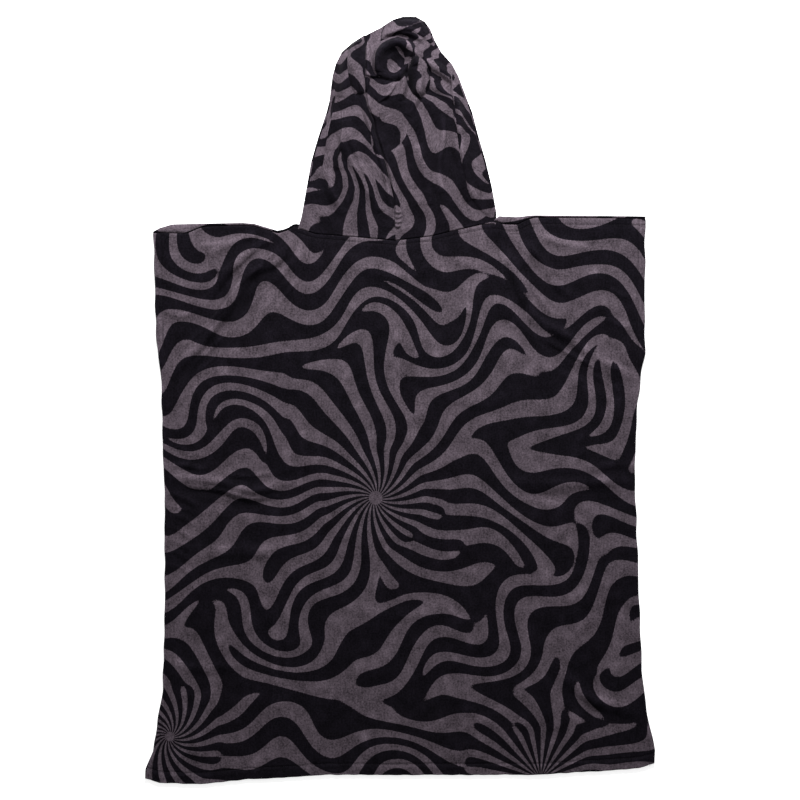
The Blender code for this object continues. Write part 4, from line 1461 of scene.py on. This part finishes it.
@dataclass(frozen=True)
class HoodHalf:
    """One half of the hood: a wall from the face opening, on the surface, round the outer
    fold and back over the top to the centre seam.

    Attributes:
        name: of the piece.
        last: y of the last section.
        edge: x of the outer fold from y.
        seam: x of the centre seam from y.
        face: x of the face opening's edge from y.
        sign: 1 on the half whose outer fold has the larger x, and -1 on the other.
        cut: where on the printed cloth it is cut.
        printed: the print.
        cloth: its material.
        first: y of the first section.
        neck_settle: height over which the neck's curve fades out of the sections.
        crease_depth: of all creases and tucks, on the heights in their tables.
        crown_fall: distance below the last section over which the puff falls to nothing.
        swell_share: of the way from the fold to the seam, over which the puff swells.
        fold_share: of it, over which the creases come in.
        groove_share: of it, that the groove beside the seam takes.
        groove: its depth.
        groove_puff: the puff at which it has its full depth.
        waviness, waves: size and waves of the cloth's broad unevenness.
        ruffling, ruffles: size and waves of its fine unevenness.
        neck_ease: distance above the neck over which the creases come in.
        neck_round: radius of the edge at the neck.
        least: height that the upper skin never goes below, in rims.
        frill_ease: distance above the neck over which the frill comes in.
        neck_place, neck_spacing: distance from the neck of the second mark of the sections'
            spacing, and the spacing at the first.
        under_columns, round_columns, top_columns: of the grid along the surface, round the
            fold and over the top.
        low_sections, high_sections: sections that would fill the height at the spacing near
            the neck and at the crown.
    """

    name: str
    last: float
    edge: Table
    seam: Table
    face: Table
    sign: int
    cut: Cut
    printed: SwirlPrint
    cloth: bpy.types.Material
    first: float = 0.296
    neck_settle: float = 0.13
    crease_depth: float = 1.35
    crown_fall: float = 0.010
    swell_share: float = 0.45
    fold_share: float = 0.12
    groove_share: float = 0.030
    groove: float = 0.0038
    groove_puff: float = 0.004
    waviness: float = 0.0007
    waves: Waves = Waves(51, (0.03, 0.09), 11)
    ruffling: float = 0.00020
    ruffles: Waves = Waves(52, (0.010, 0.026), 13)
    neck_ease: float = 0.02
    neck_round: float = 0.0030
    least: float = 0.6
    frill_ease: float = 0.012
    neck_place: float = 0.006
    neck_spacing: float = 0.0006
    under_columns: int = 70
    round_columns: int = 14
    top_columns: int = 176
    low_sections: int = 260
    high_sections: int = 330

    def settle(self, y: Array) -> Array:
        """How much of the neck's curve a section still has: 1 on the first, 0 well above."""
        return 1 - eased((y - self.first) / self.neck_settle)

    def at_neck(self, table: Table, neck: Table, y: Array) -> Array:
        """x from a table whose foot is on a neck curve, so sections near the neck reach down."""
        foot = read(neck, 0.0)
        return read(table, y + (foot - self.first) * self.settle(y))

    def layer(
        self,
        y: Array,
        neck: Table,
        start: Callable[[Array], Array],
        end: Callable[[Array], Array],
        shares: Array,
    ) -> tuple[Array, Array]:
        """(x, y) along one layer of the sections.

        Args:
            y: of the sections, one a row.
            neck: curve that the first section's points lie on.
            start: x at which the layer starts, from y.
            end: x at which it ends.
            shares: of the way, one a column.

        Returns:
            Points whose place is a straight share of the way, lowered near the neck by the
            drop from the first section's y to the neck curve.
        """
        first = np.array(self.first)
        neck_x = start(first) + (end(first) - start(first)) * shares
        drop = (read(neck, neck_x) - SEAM_LAP - self.first) * self.settle(y)[:, None]
        from_x, to_x = start(y)[:, None], end(y)[:, None]
        return from_x + (to_x - from_x) * shares, y[:, None] + drop

    def fold_x(self, y: Array) -> Array:
        """x of the middle of the outer fold's round."""
        return read(self.edge, y) - self.sign * HOOD_RIM / 2

    def seam_x(self, y: Array) -> Array:
        """x of this half's edge at the centre seam, a lap past the seam line."""
        return self.at_neck(self.seam, NECK_BACK, y) - self.sign * SEAM_LAP

    def face_x(self, y: Array) -> Array:
        """x of the face opening's edge."""
        return self.at_neck(self.face, NECK_FRONT, y)

    def top_height(self, shares: Array, x: Array, y: Array) -> Array:
        """Height of the upper skin, from the outer fold (share 0) to the seam (share 1).

        The rim, plus a puff that swells as a quarter sine from the fold, plus the creases and
        a slight unevenness, less a groove along the seam and a rounded edge at the neck.
        """
        swell = np.sin(np.pi / 2 * np.minimum(1.0, shares / self.swell_share))
        closing = eased((shares - self.swell_share) / (1 - self.swell_share))
        kept = 1 - closing * (1 - read(CROWN_CLOSE, y))
        kept = kept * eased((self.last - y) / self.crown_fall)
        puff = read(HOOD_PUFF, y) * swell * kept
        creases = self.crease_depth * sum(crease.height_at(x, y) for crease in HOOD_CREASES)
        creases = creases + self.crease_depth * sum(tuck.height_at(x, y) for tuck in HOOD_TUCKS)
        creases = creases + self.waviness * self.waves.at(x, y)
        creases = creases + self.ruffling * self.ruffles.at(x, y)
        from_neck = y - read(NECK_BACK, x)
        free = eased(shares / self.fold_share) * kept * eased(from_neck / self.neck_ease)
        groove = eased((shares - 1) / self.groove_share + 1) * eased(puff / self.groove_puff)
        height = HOOD_RIM + puff + creases * free - self.groove * groove
        height = height - rounded(from_neck, self.neck_round)
        return np.maximum(height, self.least * HOOD_RIM)

    def build(self) -> bpy.types.Object:
        """The piece.

        Each section goes along the surface, half round the outer fold as a circle, and back
        over the top. Its place on the cloth is its length from the centre seam, so that the
        print follows the folds.
        """
        span = self.last - self.first
        low, high = span / self.low_sections, span / self.high_sections
        marks = [(0.0, self.neck_spacing), (self.neck_place, low), (span, high)]
        y = self.first + spaced(marks, SKIP)
        under = np.linspace(0, 1, self.under_columns + 1)
        over = np.linspace(0, 1, self.top_columns + 1)
        ux, uy = self.layer(y, NECK_FRONT, self.face_x, self.fold_x, under)
        tx, ty = self.layer(y, NECK_BACK, self.fold_x, self.seam_x, over)
        count, radius = np.arange(1, self.round_columns), HOOD_RIM / 2
        angle = np.pi * (count / self.round_columns - 0.5)
        turn = radius + radius * np.sin(angle)
        inside = radius + (radius - CLOTH) * np.sin(angle)
        swing = self.sign * np.cos(angle)
        rx = self.fold_x(y)[:, None] + radius * swing
        ix = self.fold_x(y)[:, None] + (radius - CLOTH) * swing
        ry = uy[:, -1:] + (ty[:, :1] - uy[:, -1:]) * count / self.round_columns
        flat, tall = np.zeros(ux.shape), self.top_height(over, tx, ty)
        ones, up = np.ones((len(y), 1)), np.hstack([uy, ry, ty])
        outer_z = np.hstack([flat, ones * turn, tall])
        inner_z = np.hstack([flat + CLOTH, ones * inside, tall - CLOTH])
        outer = np.dstack([np.hstack([ux, rx, tx]), up, outer_z])
        inner = np.dstack([np.hstack([ux, ix, tx]), up, inner_z])
        if self.sign > 0:
            outer, inner = outer[::-1].copy(), inner[::-1].copy()
        places = self.places(outer)
        for skin in (outer, inner):
            skin[..., 2] += self.frill(skin[..., 0], skin[..., 1]) * (skin[..., 2] > HOOD_RIM)
        return cloth_wall(self.name, outer, inner, places, self.printed, self.cloth)

    def frill(self, x: Array, y: Array) -> Array:
        """Height of the frill at the foot of the seam, from 0 at the neck."""
        ease = eased((y - read(NECK_BACK, x)) / self.frill_ease)
        return ease * sum(crease.height_at(x, y) for crease in FRILL)

    def places(self, outer: Array) -> tuple[Array, Array]:
        """(u, v) on the cloth: the length along a section from the seam, and y."""
        lengths = np.hypot(np.diff(outer[..., 0], axis=1), np.diff(outer[..., 2], axis=1))
        gone = np.cumsum(lengths[:, ::-1], axis=1)[:, ::-1]
        gone = np.hstack([gone, np.zeros((len(gone), 1))])
        x, y = outer[:, -1:, 0] + self.sign * gone, outer[..., 1].copy()
        top = outer[..., 2] > HOOD_RIM
        for crease in HOOD_CREASES:
            if crease.profile is Profile.STEP:
                x = x + crease.shift * crease.strength(outer[..., 0], outer[..., 1]) * top
        for tuck in HOOD_TUCKS:
            inside = top & (tuck.depth(outer[..., 0], outer[..., 1]) > 0)
            mx, my = np.mean(tuck.outline, axis=0)
            c, s = math.cos(math.radians(tuck.turn)), math.sin(math.radians(tuck.turn))
            tx, ty = x - mx, y - my
            x = np.where(inside, mx + c * tx - s * ty + tuck.shift[0], x)
            y = np.where(inside, my + s * tx + c * ty + tuck.shift[1], y)
        return self.cut.place(x, y)


@dataclass(frozen=True)
class Topstitching:
    """Rows of topstitching on the back panel: short threads sunk in their furrows.

    Attributes:
        panels: the panels that it is sewn through.
        material: of the thread.
        pitch: from stitch to stitch.
        length: of a stitch that shows.
        width: of the thread.
        rings: segments along a stitch.
        sides: round it.
        bow: how its ends dip below its middle, as height over length squared.
        lift: of its middle line above the cloth.
        vent_foot: y where the rows beside the vents start.
        hem_reach: x on each side where the bottom hem's row ends.
        row_end: distance from the neck's ends at which a row starts or stops.
        arm_top: distance below the shoulder at which the arm rows stop.
        probe: distance over which a row's direction is taken.
    """

    panels: Panels
    material: bpy.types.Material
    pitch: float = 0.0032
    length: float = 0.0024
    width: float = 0.0006
    rings: int = 4
    sides: int = 6
    bow: float = 80.0
    lift: float = 0.0001
    vent_foot: float = -0.604
    hem_reach: float = 0.408
    row_end: float = 0.004
    arm_top: float = 0.006
    probe: float = 0.001

    def rows(self) -> list[Array]:
        """Lines of points that the rows of stitches follow, as (x, y)."""
        panels, t = self.panels, np.linspace(0, 1, 600)
        low, high = panels.arm_end, SHOULDER[0][1] - self.arm_top
        lines = []
        for table, sign in ((LEFT_SIDE, 1), (RIGHT_SIDE, -1)):
            y = low + (high - low) * t
            lines.append(np.stack([read(table, y) + sign * panels.arm_hem, y], axis=1))
            y = self.vent_foot + (panels.vent_top - self.vent_foot) * t
            lines.append(np.stack([read(table, y) + sign * panels.vent_hem, y], axis=1))
        x = -self.hem_reach + 2 * self.hem_reach * t
        lines.append(np.stack([x, read(HEM, x) + panels.hem], axis=1))
        start, end = NECK_BACK[0][0], NECK_BACK[-1][0]
        x = start + self.row_end + (end - start - 2 * self.row_end) * t
        lines.append(np.stack([x, read(NECK_BACK, x) - panels.neck_stitch], axis=1))
        x = end + self.row_end + (SHOULDER[-1][0] - end - (self.row_end + self.arm_top)) * t
        lines.append(np.stack([x, panels.shoulder_seam(x) - panels.shoulder_stitch], axis=1))
        return lines

    def centres(self) -> tuple[Array, Array]:
        """(middle of each stitch, its direction), evenly spaced along the rows."""
        middles, ways = [], []
        for line in self.rows():
            gone = np.concatenate([[0.0], np.cumsum(np.hypot(*np.diff(line, axis=0).T))])
            at = np.arange(self.pitch, gone[-1] - self.pitch, self.pitch)
            here, there = (
                np.stack([np.interp(at + d, gone, line[:, k]) for k in (0, 1)], axis=1)
                for d in (0.0, self.probe)
            )
            middles.append(here)
            ways.append((there - here) / np.linalg.norm(there - here, axis=1)[:, None])
        return np.concatenate(middles), np.concatenate(ways)

    def surface(self, x: Array, y: Array) -> Array:
        """Height of the back panel's upper skin at points."""
        panels = self.panels
        left, right = read(LEFT_SIDE, y), read(RIGHT_SIDE, y)
        away = {
            "side": np.minimum(x - left, right - x),
            "foot": y - read(HEM, x),
            "head": panels.back_top(x) - y,
        }
        under, thick = panels.back_height(x, y, away)
        return under + thick

    def build(self) -> bpy.types.Object:
        """The piece: each stitch is a small closed spindle, its radius half an ellipse."""
        middles, ways = self.centres()
        height = self.surface(middles[:, 0], middles[:, 1])
        along = np.cos(np.pi * np.arange(1, self.rings) / self.rings)
        radius = np.sin(np.pi * np.arange(1, self.rings) / self.rings) * self.width / 2
        turn = TAU * np.arange(self.sides) / self.sides
        ahead = np.concatenate([[1.0], np.repeat(along, self.sides), [-1.0]]) * self.length / 2
        aside = np.concatenate([[0.0], np.outer(radius, np.cos(turn)).ravel(), [0.0]])
        above = np.concatenate([[0.0], np.outer(radius, np.sin(turn)).ravel(), [0.0]])
        x = middles[:, :1] + ways[:, :1] * ahead - ways[:, 1:] * aside
        y = middles[:, 1:] + ways[:, 1:] * ahead + ways[:, :1] * aside
        z = height[:, None] + above - self.bow * ahead**2 + self.lift
        points = np.stack([x, y, z], axis=-1)
        each, count = points.shape[1], len(points)
        ring = 1 + np.arange(self.sides)
        after = np.roll(ring, -1)
        start = np.stack([np.zeros_like(ring), ring, after], axis=1)
        end_ring = ring + self.sides * (self.rings - 2)
        end = np.stack([np.full_like(ring, each - 1), np.roll(end_ring, -1), end_ring], axis=1)
        walls = [
            np.stack([ring + k, ring + k + self.sides, after + k + self.sides, after + k], axis=1)
            for k in self.sides * np.arange(self.rings - 2)
        ]
        base = (np.arange(count) * each)[:, None, None]
        four = (np.concatenate(walls)[None] + base).reshape(-1, 4)
        three = (np.concatenate([start, end])[None] + base).reshape(-1, 3)
        return put_mesh("topstitching", points.reshape(-1, 3), four, three, self.material)


@dataclass(frozen=True)
class Studio:
    """The camera, the floor and the lights.

    Attributes:
        height: of the camera above the floor.
        lens: of the camera, in millimetres.
        centre_y: y below the camera.
        floor: half the side of the floor.
        key_power: of the soft light, in watts.
        key_place: of the soft light.
        key_size: diameter of the soft light.
        sky: strength of the pale sky.
    """

    height: float = 3.111
    lens: float = 85.0
    centre_y: float = 0.0008
    floor: float = 30.0
    key_power: float = 74.0
    key_place: tuple[float, float, float] = (0.10, 1.47, 1.15)
    key_size: float = 0.7
    sky: float = 0.42

    def make_camera(self) -> None:
        """A camera looking straight down, with +Y up in its view."""
        data = bpy.data.cameras.new("camera")
        data.lens, data.sensor_width = self.lens, 36.0
        data.clip_start, data.clip_end = 0.05, 50.0
        camera = bpy.data.objects.new("camera", data)
        camera.location = (0.0, self.centre_y, self.height)
        bpy.context.scene.collection.objects.link(camera)
        bpy.context.scene.camera = camera

    def make_floor(self) -> None:
        """A plain white floor, faintly lit from within as a light table is."""
        graph = Graph("floor_white")
        values = {"Base Color": (0.88, 0.88, 0.88, 1.0), "Roughness": 0.9}
        values |= {"Emission Color": (1.0, 1.0, 1.0, 1.0), "Emission Strength": 0.6}
        graph.set(graph.shader, values)
        side = self.floor
        mesh = bpy.data.meshes.new("floor")
        corners = [(-side, -side, 0.0), (side, -side, 0.0), (side, side, 0.0), (-side, side, 0.0)]
        mesh.from_pydata(corners, [], [(0, 1, 2, 3)])
        mesh.materials.append(graph.material)
        floor = bpy.data.objects.new("floor", mesh)
        floor.location = (0.0, 0.0, -0.0005)
        bpy.context.scene.collection.objects.link(floor)

    def make_lights(self) -> None:
        """One soft light past the hood, which rakes down the cloth, and a pale sky."""
        data = bpy.data.lights.new("key", "AREA")
        data.shape, data.size = "DISK", self.key_size
        data.energy = self.key_power
        light = bpy.data.objects.new("key", data)
        light.location = self.key_place
        away = np.array(self.key_place) - (0.0, 0.1, 0.0)
        light.rotation_euler = (
            -math.atan2(away[1], away[2]),
            math.atan2(away[0], math.hypot(away[1], away[2])),
            0.0,
        )
        bpy.context.scene.collection.objects.link(light)
        world = bpy.data.worlds.new("sky")
        world.use_nodes = True
        background = world.node_tree.nodes["Background"]
        background.inputs[0].default_value = (1.0, 1.0, 1.0, 1.0)
        background.inputs[1].default_value = self.sky
        bpy.context.scene.world = world

    def build(self) -> None:
        """Everything round the garment."""
        self.make_camera()
        self.make_floor()
        self.make_lights()
        bpy.context.scene.view_settings.view_transform = "Standard"


def finish_piece(piece: bpy.types.Object, nodes: Sequence[str]) -> None:
    """Puts a piece on its body, hides the nodes that it replaces and reports it.

    Args:
        piece: the piece.
        nodes: names of the nodes that it replaces.
    """
    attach(piece, BODY)
    if nodes:
        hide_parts(*nodes)
    low, high = (np.array(piece.bound_box).min(axis=0), np.array(piece.bound_box).max(axis=0))
    faces = sum(len(p.vertices) - 2 for p in piece.data.polygons)
    LOG.info("%s: %d triangles, %s to %s", piece.name, faces, low.round(4), high.round(4))


def main() -> None:
    """Builds the garment piece by piece, then what is round it."""
    logging.basicConfig(level=logging.INFO, format="%(message)s")
    printed = SwirlPrint()
    velour = Velour().build("velour_towelling_print")
    thread = Thread().build("sewing_thread")
    panels = Panels(printed, velour)
    back = panels.make_back()
    finish_piece(back, ["back_panel"])
    front = panels.make_front()
    finish_piece(front, ["front_panel"])
    halves = (
        HoodHalf("hood_left_cloth", 0.600, HOOD_LEFT_EDGE, CENTRE_SEAM, FACE_LEFT, -1,
                 Cut((0.16, -0.30), -35.0, scale=1.12, ripple=0.010), printed, velour,
                 crown_fall=0.016),
        HoodHalf("hood_right_cloth", 0.631, HOOD_RIGHT_EDGE, CENTRE_SEAM, FACE_RIGHT, 1,
                 Cut((0.09, -0.21), 55.0, scale=1.12, ripple=0.010), printed, velour),
    )  # fmt: skip
    hood = []
    for half, node in zip(halves, ("hood_left", "hood_right")):
        hood.append(half.build())
        finish_piece(hood[-1], [node])
    stitching = Topstitching(panels, thread).build()
    finish_piece(stitching, [])
    Studio().build()


if __name__ == "__main__":
    main()
